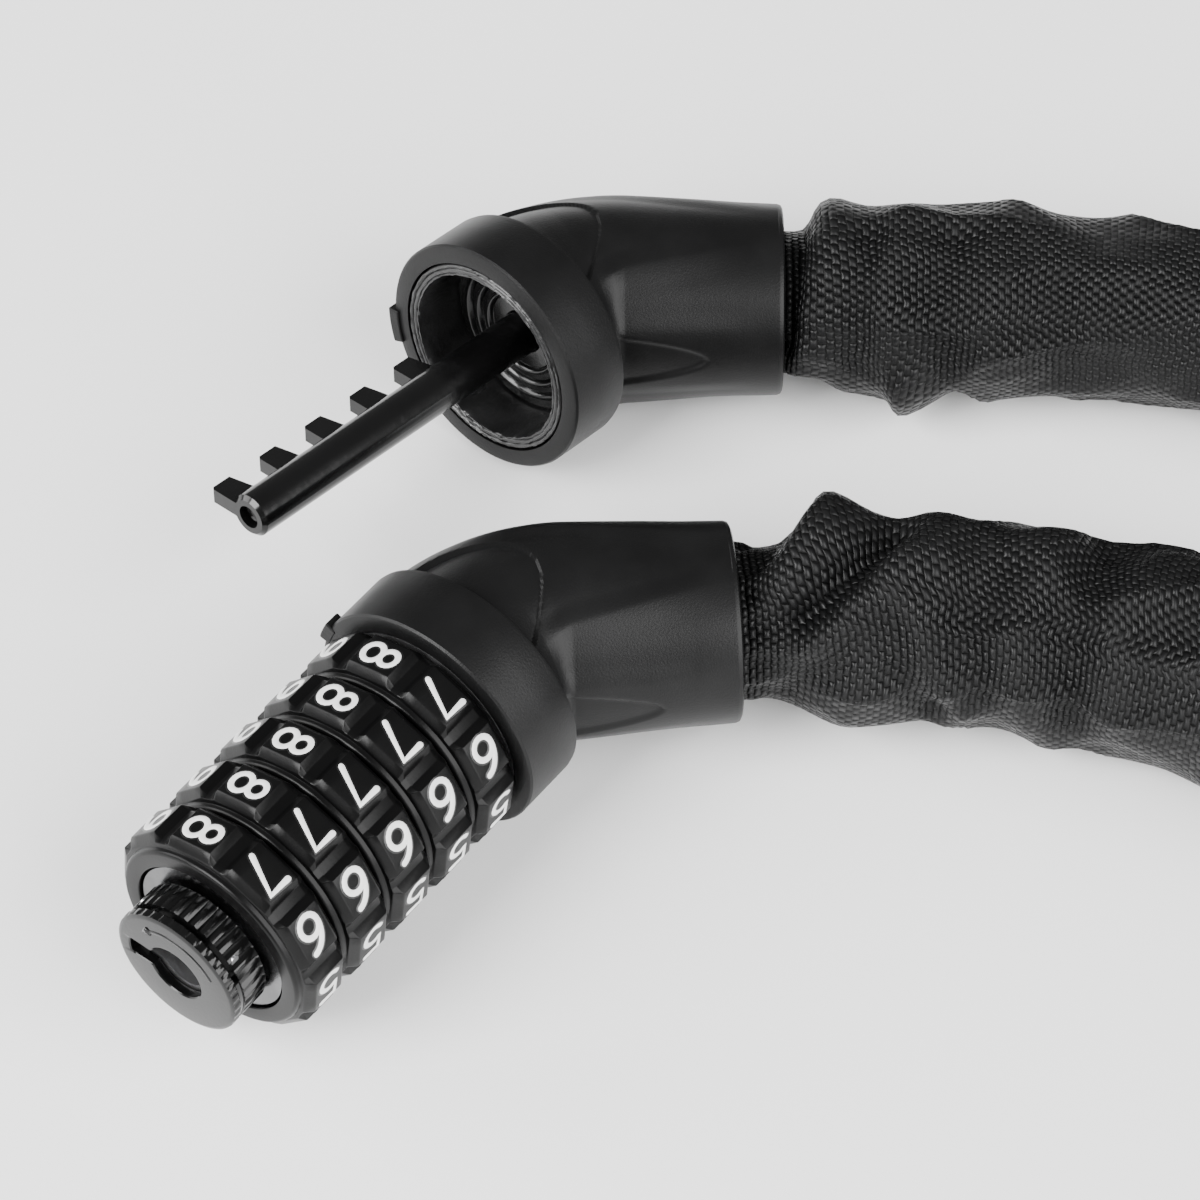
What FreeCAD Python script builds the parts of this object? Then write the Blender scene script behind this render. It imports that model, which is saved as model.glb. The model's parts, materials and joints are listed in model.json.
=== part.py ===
import FreeCAD, Part
import Sketcher
import math
import os

# Five-dial chain lock. Row frame: the origin is on the dial axis at the front face of the first dial,
# +X runs out of the keyhole along the dial axis, +Z is up, and both elbows bend towards +Y.
# Each lock unit is drawn in its own frame: its collar's rim plane at x = 0, with +X out of the mouth.

Vector = FreeCAD.Vector
doc = FreeCAD.newDocument("chain_lock")

# ---------------------------------------------------------------- driving sizes, in millimetres and degrees
SIZES = {
    # dials
    "dialFlats": 28.0,          # across the digit pads
    "dialWidth": 7.5,
    "dialGap": 0.25,            # between two dials
    "dialWall": 3.6,            # pad to counterbore
    "counterboreDepth": 2.2,
    "webWidth": 1.4,            # the dial's inner web behind its code ring
    "padGroove": 1.1,           # depth of the valley between two pads
    "keyDepth": 0.9,            # grooves in the dial that hold the code ring's lugs
    "keyWidth": 1.5,
    # code rings
    "ringWidth": 3.6,
    "ringClearance": 0.1,       # ring to dial, and ring to barrel
    "ringSeat": 9.0,            # radius of the dial's bore round the ring
    # barrel and bolt
    "boltDiameter": 5.6,
    "boltReach": 41.0,          # bolt tip from the collar's rim plane
    "boreClearance": 0.2,       # bolt to barrel bore, on the radius
    "barrelWall": 2.2,
    "barrelNose": 4.5,          # barrel in front of the first dial
    "toothHeight": 3.4,         # tooth tip beyond the bolt's surface
    "toothLength": 3.85,
    "toothWidth": 2.0,
    "toothClearance": 0.2,      # tooth to slot, on each side
    "boreEnd": 0.5,             # free length behind the locked bolt's tip
    "flangeWidth": 4.75,
    # knob
    "knobDiameter": 17.1,
    "knobReach": 5.9,           # knob face in front of the first dial
    "knobFace": 1.2,
    "knobRunning": 0.06,
    "pinSlim": 1.2,             # knob retaining pin
    # covers
    "collarDiameter": 31.0,
    "collarLength": 9.0,
    "collarWall": 2.5,
    "bodyDiameter": 26.4,       # cover round the bend
    "bendRadius": 15.4,
    "bendAngle": 48.0,
    "tailLength": 19.8,
    "tailDiameter": 24.0,
    "coverWall": 2.3,
    "tailWall": 1.8,
    "insertGap": 0.1,           # metal parts to the covers
    # cup of the bolt end
    "cupWall": 1.7,
    "cupDepth": 7.5,
    "cupFloor": 1.5,
    "washerThick": 0.7,
    # yokes and chain
    "yokeDiameter": 16.4,
    "yokeBack": 17.4,           # chain pin behind the rim plane
    "yokeSide": 2.5,            # chain pin towards the bend
    "yokeEnd": 3.2,             # yoke behind the pin's centre
    "chainPin": 5.0,
    "linkWire": 4.5,
    "linkInside": 22.0,
    "linkSlot": 6.5,
    "linkPitch": 20.5,
    # sleeve
    "sleeveDiameter": 24.0,
    "sleeveWall": 1.2,
    "neckLength": 6.0,          # sleeve tucked into each tail
    "mouthGap": 0.1,            # sleeve's folded end to the tail's mouth
    "leadOut": 0.3,             # the woven tube's first turn stands this far off the mouth
    "firstRunDial": 24.0,       # straight run out of each tail
    "firstRunBolt": 34.0,
}

sheet = doc.addObject("Spreadsheet::Sheet", "sizes")
for row, (name, value) in enumerate(SIZES.items(), start=1):
    sheet.set(f"A{row}", name)
    sheet.set(f"B{row}", str(value))
    sheet.setAlias(f"B{row}", name)
doc.recompute()

DIAL_COUNT = 5
DIGITS = 10


def size(name):
    return float(sheet.get(name))


# Worked-out lengths that several pieces share, as sheet formulas.
DERIVED = {
    "dialPitch": "=dialWidth + dialGap",
    "dialRadius": "=dialFlats / 2",
    "counterbore": "=dialFlats / 2 - dialWall",
    "boltRadius": "=boltDiameter / 2",
    "boreRadius": "=boltDiameter / 2 + boreClearance",
    "barrelRadius": "=boltDiameter / 2 + boreClearance + barrelWall",
    "ringBore": "=barrelRadius + ringClearance",
    "toothTip": "=boltRadius + toothHeight",
    "notchTip": "=toothTip + toothClearance",
    "webBore": "=toothTip + 2 * toothClearance",
    "slotWidth": "=toothWidth + 2 * toothClearance",
    "ringRadius": "=ringSeat - ringClearance",
    "ringFront": "=dialWidth - webWidth - ringWidth",
    "ringBack": "=dialWidth - webWidth",
    "stackLength": "=5 * dialPitch",
    "boreDepth": "=boltReach + boreEnd",
    "flangeBack": "=stackLength + flangeWidth",
    "collarRadius": "=collarDiameter / 2",
    "insertRadius": "=collarDiameter / 2 - collarWall - insertGap",
    "cupRadius": "=insertRadius - cupWall",
    "cupBack": "=cupDepth + cupFloor",
    "yokeRadius": "=yokeDiameter / 2",
    "yokeRear": "=yokeBack + yokeEnd",
    "knobRadius": "=knobDiameter / 2",
}
for row, (name, formula) in enumerate(DERIVED.items(), start=len(SIZES) + 1):
    sheet.set(f"A{row}", name)
    sheet.set(f"B{row}", formula)
    sheet.setAlias(f"B{row}", name)
    doc.recompute()


# ---------------------------------------------------------------- helpers
def bind(thing, **formulas):
    """Bind properties of a feature to formulas on the sheet's aliases."""
    for prop, formula in formulas.items():
        thing.setExpression(prop.replace("__", "."), formula)


def origin_plane(body, role):
    return next(item for item in body.Origin.OriginFeatures if item.Role == role)


def sketch_on(body, role, name):
    sketch = body.newObject("Sketcher::SketchObject", name)
    sketch.AttachmentSupport = [(origin_plane(body, role), "")]
    sketch.MapMode = "FlatFace"
    return sketch


workings = doc.addObject("Spreadsheet::Sheet", "workings")


def formula_value(formula):
    """The number that a formula on the sheet's aliases gives now."""
    workings.set("A1", "=" + formula)
    workings.recompute()
    return float(workings.get("A1"))


def outline(sketch, corners):
    """A closed polygon whose corners are (across, up) formulas, each dimensioned from the origin."""
    places = [(formula_value(across), formula_value(up)) for across, up in corners]
    count = len(corners)
    first = sketch.GeometryCount
    for index in range(count):
        here = Vector(*places[index], 0)
        there = Vector(*places[(index + 1) % count], 0)
        sketch.addGeometry(Part.LineSegment(here, there))
    for index in range(count):
        after = first + (index + 1) % count
        sketch.addConstraint(Sketcher.Constraint("Coincident", first + index, 2, after, 1))
    for index in range(count):
        for kind, place, formula in zip(("DistanceX", "DistanceY"), places[index], corners[index]):
            rule = Sketcher.Constraint(kind, -1, 1, first + index, 1, place)
            number = sketch.addConstraint(rule)
            if formula != "0":
                sketch.setExpression(f"Constraints[{number}]", formula)


def round_outline(sketch, across, up, radius):
    """A circle with its centre and radius given by formulas."""
    centre = Vector(formula_value(across), formula_value(up), 0)
    number = sketch.addGeometry(Part.Circle(centre, Vector(0, 0, 1), formula_value(radius)))
    rule = sketch.addConstraint(Sketcher.Constraint("Radius", number, formula_value(radius)))
    sketch.setExpression(f"Constraints[{rule}]", radius)
    for kind, place, formula in (("DistanceX", centre.x, across), ("DistanceY", centre.y, up)):
        rule = sketch.addConstraint(Sketcher.Constraint(kind, -1, 1, number, 3, place))
        if formula != "0":
            sketch.setExpression(f"Constraints[{rule}]", formula)


def turned(body, name, corners, kind="PartDesign::Revolution"):
    """Material, or with a Groove a cut, turned about the body's X axis from an (x, radius) outline."""
    sketch = sketch_on(body, "XY_Plane", name + "_outline")
    outline(sketch, corners)
    feature = body.newObject(kind, name)
    feature.Profile = sketch
    feature.ReferenceAxis = (sketch, ["H_Axis"])
    feature.Angle = 360
    doc.recompute()
    return feature


def extruded(body, name, role, corners, both=None, length=None, cut=False, reverse=False, through=False):
    """A pad or a pocket of a polygon on one of the body's planes."""
    sketch = sketch_on(body, role, name + "_outline")
    outline(sketch, corners)
    return extrude_sketch(body, name, sketch, both, length, cut, reverse, through)


def extrude_sketch(body, name, sketch, both=None, length=None, cut=False, reverse=False, through=False):
    before = body.Shape.Volume if not body.Shape.isNull() else 0.0
    feature = body.newObject("PartDesign::Pocket" if cut else "PartDesign::Pad", name)
    feature.Profile = sketch
    feature.Reversed = reverse
    if through:
        feature.Type = "ThroughAll"
        feature.Midplane = True
    elif both:
        feature.Midplane = True
        feature.setExpression("Length", both)
    else:
        feature.setExpression("Length", length)
    doc.recompute()
    changed = abs(body.Shape.Volume - before)
    if changed < 0.001:
        raise RuntimeError(f"{body.Label}: {name} changed nothing")
    return feature


def ring_pattern(body, feature, count):
    """Repeat a feature round the body's X axis."""
    pattern = body.newObject("PartDesign::PolarPattern", feature.Name + "_ring")
    pattern.Originals = [feature]
    pattern.Axis = (origin_plane(body, "X_Axis"), [""])
    pattern.Angle = 360
    pattern.Occurrences = count
    body.Tip = pattern
    doc.recompute()
    return pattern


def new_body(label):
    body = doc.addObject("PartDesign::Body", label)
    body.Label = label
    return body


# ---------------------------------------------------------------- where the two units stand
STACK_END = Vector(-size("stackLength"), 0, 0)
BOLT_END_RIM = Vector(-87.1, -29.3, 0.9)
BOLT_END_YAW = -4.8
BOLT_END_ROLL = -9.2            # about its own chain's direction


def bend_point(angle):
    """The cover's centre line at an angle round the bend."""
    radius = size("bendRadius")
    turn = math.radians(angle)
    return Vector(-size("collarLength") - radius * math.sin(turn), radius * (1 - math.cos(turn)), 0)


def tail_direction():
    turn = math.radians(size("bendAngle"))
    return Vector(-math.cos(turn), math.sin(turn), 0)


def tail_end():
    return bend_point(size("bendAngle")) + tail_direction() * size("tailLength")


dial_end_place = FreeCAD.Placement(STACK_END, FreeCAD.Rotation())
yaw = FreeCAD.Rotation(Vector(0, 0, 1), BOLT_END_YAW)
roll = FreeCAD.Rotation(yaw.multVec(tail_direction()), BOLT_END_ROLL)
bolt_end_place = FreeCAD.Placement(BOLT_END_RIM, roll.multiply(yaw))

pieces = {}                     # node name -> document object, in the order of the report's list


def keep(label, thing, place=None):
    if place is not None:
        thing.Placement = place.multiply(thing.Placement)
    thing.Label = label
    pieces[label] = thing
    return thing


# ---------------------------------------------------------------- dials and code rings
def make_dial(number):
    """Ten-sided dial: digit pads, valleys between them, counterbore in front and a web behind."""
    body = new_body(f"dial_{number}")
    half = math.radians(180 / DIGITS)
    corner = f"sizes.dialRadius / {math.cos(half):.9f}"
    # a digit pad faces 66.1 degrees above +Y, so the corners lie half a step from it
    angles = [math.radians(66.1 + 18 + 36 * step) for step in range(DIGITS)]
    corners = [(f"{corner} * {math.cos(a):.9f}", f"{corner} * {math.sin(a):.9f}") for a in angles]
    sketch = sketch_on(body, "YZ_Plane", "pads_outline")
    outline(sketch, corners)
    extrude_sketch(body, "pads", sketch, length="sizes.dialWidth", reverse=True)
    turned(body, "bore", [
        ("1", "0"),
        ("1", "sizes.counterbore"),
        ("-sizes.counterboreDepth", "sizes.counterbore"),
        ("-sizes.counterboreDepth", "sizes.ringSeat"),
        ("-sizes.ringBack", "sizes.ringSeat"),
        ("-sizes.ringBack", "sizes.webBore"),
        ("-sizes.dialWidth - 1", "sizes.webBore"),
        ("-sizes.dialWidth - 1", "0"),
    ], "PartDesign::Groove")
    # a valley across each corner of the ten sides
    valley = sketch_on(body, "YZ_Plane", "valley_outline")
    turn = angles[0]
    reach = f"({corner} + 1.9)"
    round_outline(valley, f"{reach} * {math.cos(turn):.9f}", f"{reach} * {math.sin(turn):.9f}",
                  "1.9 + sizes.padGroove")
    cut = extrude_sketch(body, "valley", valley, length="sizes.dialWidth", cut=True)
    ring_pattern(body, cut, DIGITS)
    # key grooves in the bore that hold the code ring's lugs
    side = "sizes.keyWidth / 2 + 0.05"
    key = extruded(body, "key", "YZ_Plane", [
        ("sizes.ringSeat - 1", f"-({side})"),
        ("sizes.ringSeat + sizes.keyDepth + 0.1", f"-({side})"),
        ("sizes.ringSeat + sizes.keyDepth + 0.1", side),
        ("sizes.ringSeat - 1", side),
    ], length="sizes.ringBack", cut=True)
    ring_pattern(body, key, DIGITS)
    keep(f"dial_{number}", body)
    body.setExpression("Placement.Base.x", f"-{number - 1} * sizes.dialPitch")
    return body


def make_code_ring(number):
    """Ring keyed into its dial: one notch lets the bolt's tooth pass, ten scallops click."""
    body = new_body(f"code_ring_{number}")
    turned(body, "ring", [
        ("-sizes.ringFront", "sizes.ringBore"),
        ("-sizes.ringFront", "sizes.ringRadius"),
        ("-sizes.ringBack", "sizes.ringRadius"),
        ("-sizes.ringBack", "sizes.ringBore"),
    ])
    lug = extruded(body, "lug", "YZ_Plane", [
        ("sizes.ringRadius - 1", "-sizes.keyWidth / 2"),
        ("sizes.ringSeat + sizes.keyDepth", "-sizes.keyWidth / 2"),
        ("sizes.ringSeat + sizes.keyDepth", "sizes.keyWidth / 2"),
        ("sizes.ringRadius - 1", "sizes.keyWidth / 2"),
    ], length="sizes.ringBack", reverse=True)
    lug.setExpression("Length", "sizes.ringBack")
    ring_pattern(body, lug, 2)
    # the lugs are as wide as the ring: the front is turned back flush
    turned(body, "front_face", [
        ("1", "sizes.ringBore - 1"),
        ("1", "sizes.ringSeat + sizes.keyDepth + 1"),
        ("-sizes.ringFront", "sizes.ringSeat + sizes.keyDepth + 1"),
        ("-sizes.ringFront", "sizes.ringBore - 1"),
    ], "PartDesign::Groove")
    extruded(body, "notch", "YZ_Plane", [
        ("-sizes.notchTip", "-sizes.slotWidth / 2"),
        ("-sizes.ringBore + 1", "-sizes.slotWidth / 2"),
        ("-sizes.ringBore + 1", "sizes.slotWidth / 2"),
        ("-sizes.notchTip", "sizes.slotWidth / 2"),
    ], length="sizes.dialWidth", cut=True)
    scallop = sketch_on(body, "YZ_Plane", "scallop_outline")
    step = math.radians(18)
    round_outline(scallop, f"sizes.ringBore * {math.cos(step):.9f}", f"sizes.ringBore * {math.sin(step):.9f}",
                  "0.5")
    cut = extrude_sketch(body, "scallop", scallop, length="sizes.dialWidth", cut=True)
    ring_pattern(body, cut, DIGITS)
    keep(f"code_ring_{number}", body)
    body.setExpression("Placement.Base.x", f"-{number - 1} * sizes.dialPitch")
    return body


for number in range(1, DIAL_COUNT + 1):
    make_dial(number)
for number in range(1, DIAL_COUNT + 1):
    make_code_ring(number)


# ---------------------------------------------------------------- yoke shared by both ends
def add_yoke(body, front, gap_front):
    """Round block behind a flange, forked for the first chain link, with a cross hole for its pin."""
    sketch = sketch_on(body, "YZ_Plane", "yoke_outline")
    round_outline(sketch, "sizes.yokeSide", "0", "sizes.yokeRadius")
    yoke = extrude_sketch(body, "yoke", sketch, length="sizes.yokeRear", reverse=True)
    # the block starts behind the flange: what stands in front of it is turned away
    turned(body, "yoke_front", [
        ("1", "0"),
        ("1", "sizes.yokeRadius + sizes.yokeSide + 1"),
        (f"-({front})", "sizes.yokeRadius + sizes.yokeSide + 1"),
        (f"-({front})", "0"),
    ], "PartDesign::Groove")
    extruded(body, "fork_gap", "XZ_Plane", [
        (f"-({gap_front})", "-sizes.linkWire / 2 - 0.2"),
        ("-sizes.yokeRear - 1", "-sizes.linkWire / 2 - 0.2"),
        ("-sizes.yokeRear - 1", "sizes.linkWire / 2 + 0.2"),
        (f"-({gap_front})", "sizes.linkWire / 2 + 0.2"),
    ], cut=True, through=True)
    hole = sketch_on(body, "XY_Plane", "pin_hole_outline")
    round_outline(hole, "-sizes.yokeBack", "sizes.yokeSide", "sizes.chainPin / 2 + 0.05")
    extrude_sketch(body, "pin_hole", hole, cut=True, through=True)
    return yoke


# ---------------------------------------------------------------- core barrel (dial end)
def make_barrel():
    """Drawn in the dial end's own frame: rim plane at x = 0, tube forward to the nose."""
    body = new_body("core_barrel")
    add_yoke(body, "sizes.flangeWidth - 0.5", "sizes.yokeBack - 7.6")
    nose = "sizes.stackLength + sizes.barrelNose"
    turned(body, "tube", [
        (nose, "sizes.boreRadius"),
        (nose, "sizes.barrelRadius"),
        ("0", "sizes.barrelRadius"),
        ("0", "sizes.insertRadius"),
        ("-sizes.flangeWidth", "sizes.insertRadius"),
        ("-sizes.flangeWidth", "0"),
        ("sizes.stackLength - sizes.boreDepth", "0"),
        ("sizes.stackLength - sizes.boreDepth", "sizes.boreRadius"),
    ])
    # slot for the bolt's teeth, open at the nose
    extruded(body, "tooth_slot", "XZ_Plane", [
        (nose + " + 1", "-sizes.slotWidth / 2"),
        ("sizes.stackLength - sizes.boreDepth", "-sizes.slotWidth / 2"),
        ("sizes.stackLength - sizes.boreDepth", "sizes.slotWidth / 2"),
        (nose + " + 1", "sizes.slotWidth / 2"),
    ], length="sizes.notchTip", cut=True, reverse=True)
    # flat seat for the click spring, opposite the slot
    extruded(body, "spring_seat", "XY_Plane", [
        ("sizes.stackLength - 1", "sizes.barrelRadius - 0.8"),
        ("sizes.stackLength - 1", "sizes.barrelRadius + 1"),
        ("1", "sizes.barrelRadius + 1"),
        ("1", "sizes.barrelRadius - 0.8"),
    ], both="2.6", cut=True)
    # groove that the knob's pin runs in
    turned(body, "knob_groove", [
        ("sizes.stackLength + 2.3", "sizes.barrelRadius - 0.9"),
        ("sizes.stackLength + 2.3", "sizes.barrelRadius + 1"),
        ("sizes.stackLength + 3.7", "sizes.barrelRadius + 1"),
        ("sizes.stackLength + 3.7", "sizes.barrelRadius - 0.9"),
    ], "PartDesign::Groove")
    return keep("core_barrel", body, dial_end_place)


make_barrel()


def make_click_spring():
    """Leaf in the barrel's flat seat with one bump per dial, drawn pressed in so it clears every crest."""
    body = new_body("click_spring")
    low = "sizes.barrelRadius - 0.75"
    extruded(body, "leaf", "XY_Plane", [
        ("sizes.stackLength - 1.2", low),
        ("sizes.stackLength - 1.2", low + " + 0.4"),
        ("1.2", low + " + 0.4"),
        ("1.2", low),
    ], both="2.2")
    for number in range(1, DIAL_COUNT + 1):
        middle = f"sizes.stackLength - {number - 1} * sizes.dialPitch - (sizes.ringFront + sizes.ringBack) / 2"
        extruded(body, f"bump_{number}", "XY_Plane", [
            (middle + " + 0.7", low + " + 0.3"),
            (middle + " + 0.3", low + " + 0.65"),
            (middle + " - 0.3", low + " + 0.65"),
            (middle + " - 0.7", low + " + 0.3"),
        ], both="1.2")
    return keep("click_spring", body, dial_end_place)


make_click_spring()


# ---------------------------------------------------------------- washers
def make_front_washer():
    """Bright washer that closes the first dial's counterbore round the knob."""
    body = new_body("front_washer")
    turned(body, "washer", [
        ("-0.4", "sizes.barrelRadius + 0.1"),
        ("-0.4", "sizes.counterbore - 0.3"),
        ("-1.2", "sizes.counterbore - 0.3"),
        ("-1.2", "sizes.barrelRadius + 0.1"),
    ])
    # the washer is slotted like the barrel, so that the teeth pass
    extruded(body, "tooth_slot", "YZ_Plane", [
        ("-sizes.notchTip", "-sizes.slotWidth / 2"),
        ("0", "-sizes.slotWidth / 2"),
        ("0", "sizes.slotWidth / 2"),
        ("-sizes.notchTip", "sizes.slotWidth / 2"),
    ], both="4", cut=True)
    return keep("front_washer", body)


def make_spacer(number):
    """Spring washer in a dial's counterbore that holds the code ring against the web."""
    body = new_body(f"ring_washer_{number}")
    turned(body, "washer", [
        ("-1.2", "sizes.webBore"),
        ("-1.2", "sizes.counterbore - 0.3"),
        ("-1.8", "sizes.counterbore - 0.3"),
        ("-1.8", "sizes.webBore"),
    ])
    keep(f"ring_washer_{number}", body)
    body.setExpression("Placement.Base.x", f"-{number - 1} * sizes.dialPitch")
    return body


make_front_washer()
for number in range(2, DIAL_COUNT + 1):
    make_spacer(number)


# ---------------------------------------------------------------- reset knob and its pin
def make_knob():
    """Ribbed knob on the barrel's nose with the keyhole in its face."""
    body = new_body("reset_knob")
    running = "sizes.barrelRadius + sizes.knobRunning"
    keyhole = "sizes.boreRadius + 0.65"
    turned(body, "knob", [
        ("sizes.knobReach", keyhole),
        ("sizes.knobReach", "sizes.knobRadius - 0.4"),
        ("sizes.knobReach - 0.4", "sizes.knobRadius"),
        ("sizes.knobReach - 1.3", "sizes.knobRadius"),
        ("sizes.knobReach - 1.3", "sizes.knobRadius - 0.7"),
        ("sizes.knobReach - 1.9", "sizes.knobRadius - 0.7"),
        ("sizes.knobReach - 1.9", "sizes.knobRadius - 0.1"),
        ("0.2", "sizes.knobRadius - 0.1"),
        ("0.2", running),
        ("sizes.knobReach - sizes.knobFace", running),
        ("sizes.knobReach - sizes.knobFace", keyhole),
    ])
    extruded(body, "keyhole_slot", "YZ_Plane", [
        ("-sizes.notchTip - 0.2", "-sizes.slotWidth / 2"),
        ("0", "-sizes.slotWidth / 2"),
        ("0", "sizes.slotWidth / 2"),
        ("-sizes.notchTip - 0.2", "sizes.slotWidth / 2"),
    ], length="sizes.knobReach + 1", cut=True, reverse=True)
    rib = sketch_on(body, "YZ_Plane", "rib_gap_outline")
    round_outline(rib, "sizes.knobRadius + 0.15", "0", "0.6")
    gap = extrude_sketch(body, "rib_gap", rib, length="sizes.knobReach - 1.9", cut=True, reverse=True)
    ring_pattern(body, gap, 36)
    hole = sketch_on(body, "XZ_Plane", "pin_hole_outline")
    round_outline(hole, "3", "sizes.barrelRadius - 0.9 + sizes.pinSlim / 2 + 0.1", "sizes.pinSlim / 2")
    extrude_sketch(body, "pin_hole", hole, cut=True, through=True)
    return keep("reset_knob", body)


make_knob()

knob_pin = doc.addObject("Part::Cylinder", "knob_pin")
bind(knob_pin, Radius="sizes.pinSlim / 2", Height="2 * (sizes.knobRadius - 1.9)")
knob_pin.Placement.Rotation = FreeCAD.Rotation(Vector(1, 0, 0), 90)
bind(knob_pin, Placement__Base__x="3", Placement__Base__y="sizes.knobRadius - 1.9",
     Placement__Base__z="sizes.barrelRadius - 0.9 + sizes.pinSlim / 2 + 0.1")
keep("knob_pin", knob_pin)


# ---------------------------------------------------------------- bolt and its cup (bolt end)
def make_bolt():
    """Toothed bolt forged in one with the yoke that holds the chain."""
    body = new_body("lock_bolt")
    add_yoke(body, "sizes.cupBack", "sizes.yokeBack - 7.6")
    turned(body, "shank", [
        ("sizes.boltReach", "0"),
        ("sizes.boltReach", "sizes.boltRadius - 0.5"),
        ("sizes.boltReach - 0.5", "sizes.boltRadius"),
        ("-sizes.cupBack - 0.3", "sizes.boltRadius"),
        ("-sizes.cupBack - 0.3", "0"),
    ])
    turned(body, "tip_dimple", [
        ("sizes.boltReach + 1", "0"),
        ("sizes.boltReach + 1", "sizes.boltRadius - 1.3"),
        ("sizes.boltReach - 1.2", "sizes.boltRadius - 1.3"),
        ("sizes.boltReach - 1.8", "0"),
    ], "PartDesign::Groove")
    # one tooth behind each code ring when the rims meet: the first is flush with the tip
    for number in range(DIAL_COUNT):
        front = f"sizes.boltReach - {number} * sizes.dialPitch"
        extruded(body, f"tooth_{number + 1}", "XY_Plane", [
            (front, "-sizes.boltRadius + 0.8"),
            (front, "-sizes.toothTip + 0.3"),
            (front + " - 0.3", "-sizes.toothTip"),
            (front + " - sizes.toothLength + 0.9", "-sizes.toothTip"),
            (front + " - sizes.toothLength", "-sizes.boltRadius + 0.8"),
        ], both="sizes.toothWidth")
    return keep("lock_bolt", body, bolt_end_place)


def make_cup():
    """Die-cast socket that the knob and barrel nose enter."""
    body = new_body("bolt_cup")
    turned(body, "cup", [
        ("0", "sizes.cupRadius"),
        ("0", "sizes.insertRadius"),
        ("-sizes.cupBack", "sizes.insertRadius"),
        ("-sizes.cupBack", "sizes.boltRadius + 0.05"),
        ("-sizes.cupDepth", "sizes.boltRadius + 0.05"),
        ("-sizes.cupDepth", "sizes.cupRadius"),
    ])
    return keep("bolt_cup", body, bolt_end_place)


def make_cup_washer():
    """Stepped washer round the bolt's root, at the bottom of the cup."""
    body = new_body("bolt_washer")
    front = "-sizes.cupDepth + 0.05"
    turned(body, "washer", [
        (front, "sizes.boltRadius + 0.1"),
        (front + " + sizes.washerThick + 0.5", "sizes.boltRadius + 0.1"),
        (front + " + sizes.washerThick + 0.5", "sizes.boltRadius + 2.2"),
        (front + " + sizes.washerThick", "sizes.boltRadius + 2.2"),
        (front + " + sizes.washerThick", "sizes.cupRadius - 0.3"),
        (front, "sizes.cupRadius - 0.3"),
    ])
    return keep("bolt_washer", body, bolt_end_place)


make_bolt()
make_cup()
make_cup_washer()


# ---------------------------------------------------------------- chain pins
def make_chain_pin(label, place):
    pin = doc.addObject("Part::Cylinder", label)
    bind(pin, Radius="sizes.chainPin / 2", Height="sizes.yokeDiameter - 1.6")
    pin.Placement.Base = Vector(-size("yokeBack"), size("yokeSide"), -size("yokeRadius") + 0.8)
    return keep(label, pin, place)


make_chain_pin("chain_pin_dial_end", dial_end_place)
make_chain_pin("chain_pin_bolt_end", bolt_end_place)


# ---------------------------------------------------------------- elbow covers
def elbow(label, collar, round_bend, tail_radius, front, back):
    """A collar, a bend and a tapered tail as one solid; front and back lengthen its two ends."""
    parts = []
    rim = doc.addObject("Part::Cylinder", label + "_collar")
    bind(rim, Radius=collar, Height=f"sizes.collarLength + {front}")
    rim.Placement = FreeCAD.Placement(Vector(-size("collarLength"), 0, 0), FreeCAD.Rotation(Vector(0, 1, 0), 90))
    parts.append(rim)
    bend = doc.addObject("Part::Torus", label + "_bend")
    bind(bend, Radius1="sizes.bendRadius", Radius2=round_bend, Angle3="sizes.bendAngle")
    spin = FreeCAD.Rotation(Vector(0, 0, 1), 270 - size("bendAngle"))
    bend.Placement = FreeCAD.Placement(Vector(-size("collarLength"), size("bendRadius"), 0), spin)
    parts.append(bend)
    tail = doc.addObject("Part::Cone", label + "_tail")
    bind(tail, Radius1=round_bend, Radius2=tail_radius, Height=f"sizes.tailLength + {back}")
    aim = FreeCAD.Rotation(Vector(0, 0, 1), tail_direction())
    tail.Placement = FreeCAD.Placement(bend_point(size("bendAngle")), aim)
    parts.append(tail)
    whole = doc.addObject("Part::MultiFuse", label)
    whole.Shapes = parts
    return whole


def make_covers(suffix, place):
    """Two half shells that meet in the plane of the bend."""
    outer = elbow("outer_" + suffix, "sizes.collarRadius", "sizes.bodyDiameter / 2",
                  "sizes.tailDiameter / 2", "0", "0")
    inner = elbow("inner_" + suffix, "sizes.insertRadius + sizes.insertGap",
                  "sizes.bodyDiameter / 2 - sizes.coverWall", "sizes.tailDiameter / 2 - sizes.tailWall", "1", "0.5")
    hollow = doc.addObject("Part::Cut", "hollow_" + suffix)
    hollow.Base = outer
    hollow.Tool = inner
    for half, low in (("top", 0.0), ("bottom", -40.0)):
        block = doc.addObject("Part::Box", f"{half}_room_{suffix}")
        bind(block, Length="4 * sizes.bodyDiameter", Width="4 * sizes.bodyDiameter")
        block.Height = 40
        block.Placement.Base = Vector(-3 * size("bodyDiameter"), -2 * size("bodyDiameter"), low)
        cover = doc.addObject("Part::Common", f"{suffix}_cover_{half}")
        cover.Base = hollow
        cover.Tool = block
        keep(f"{suffix}_cover_{half}", cover, place)


make_covers("dial_end", dial_end_place)
make_covers("bolt_end", bolt_end_place)


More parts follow.
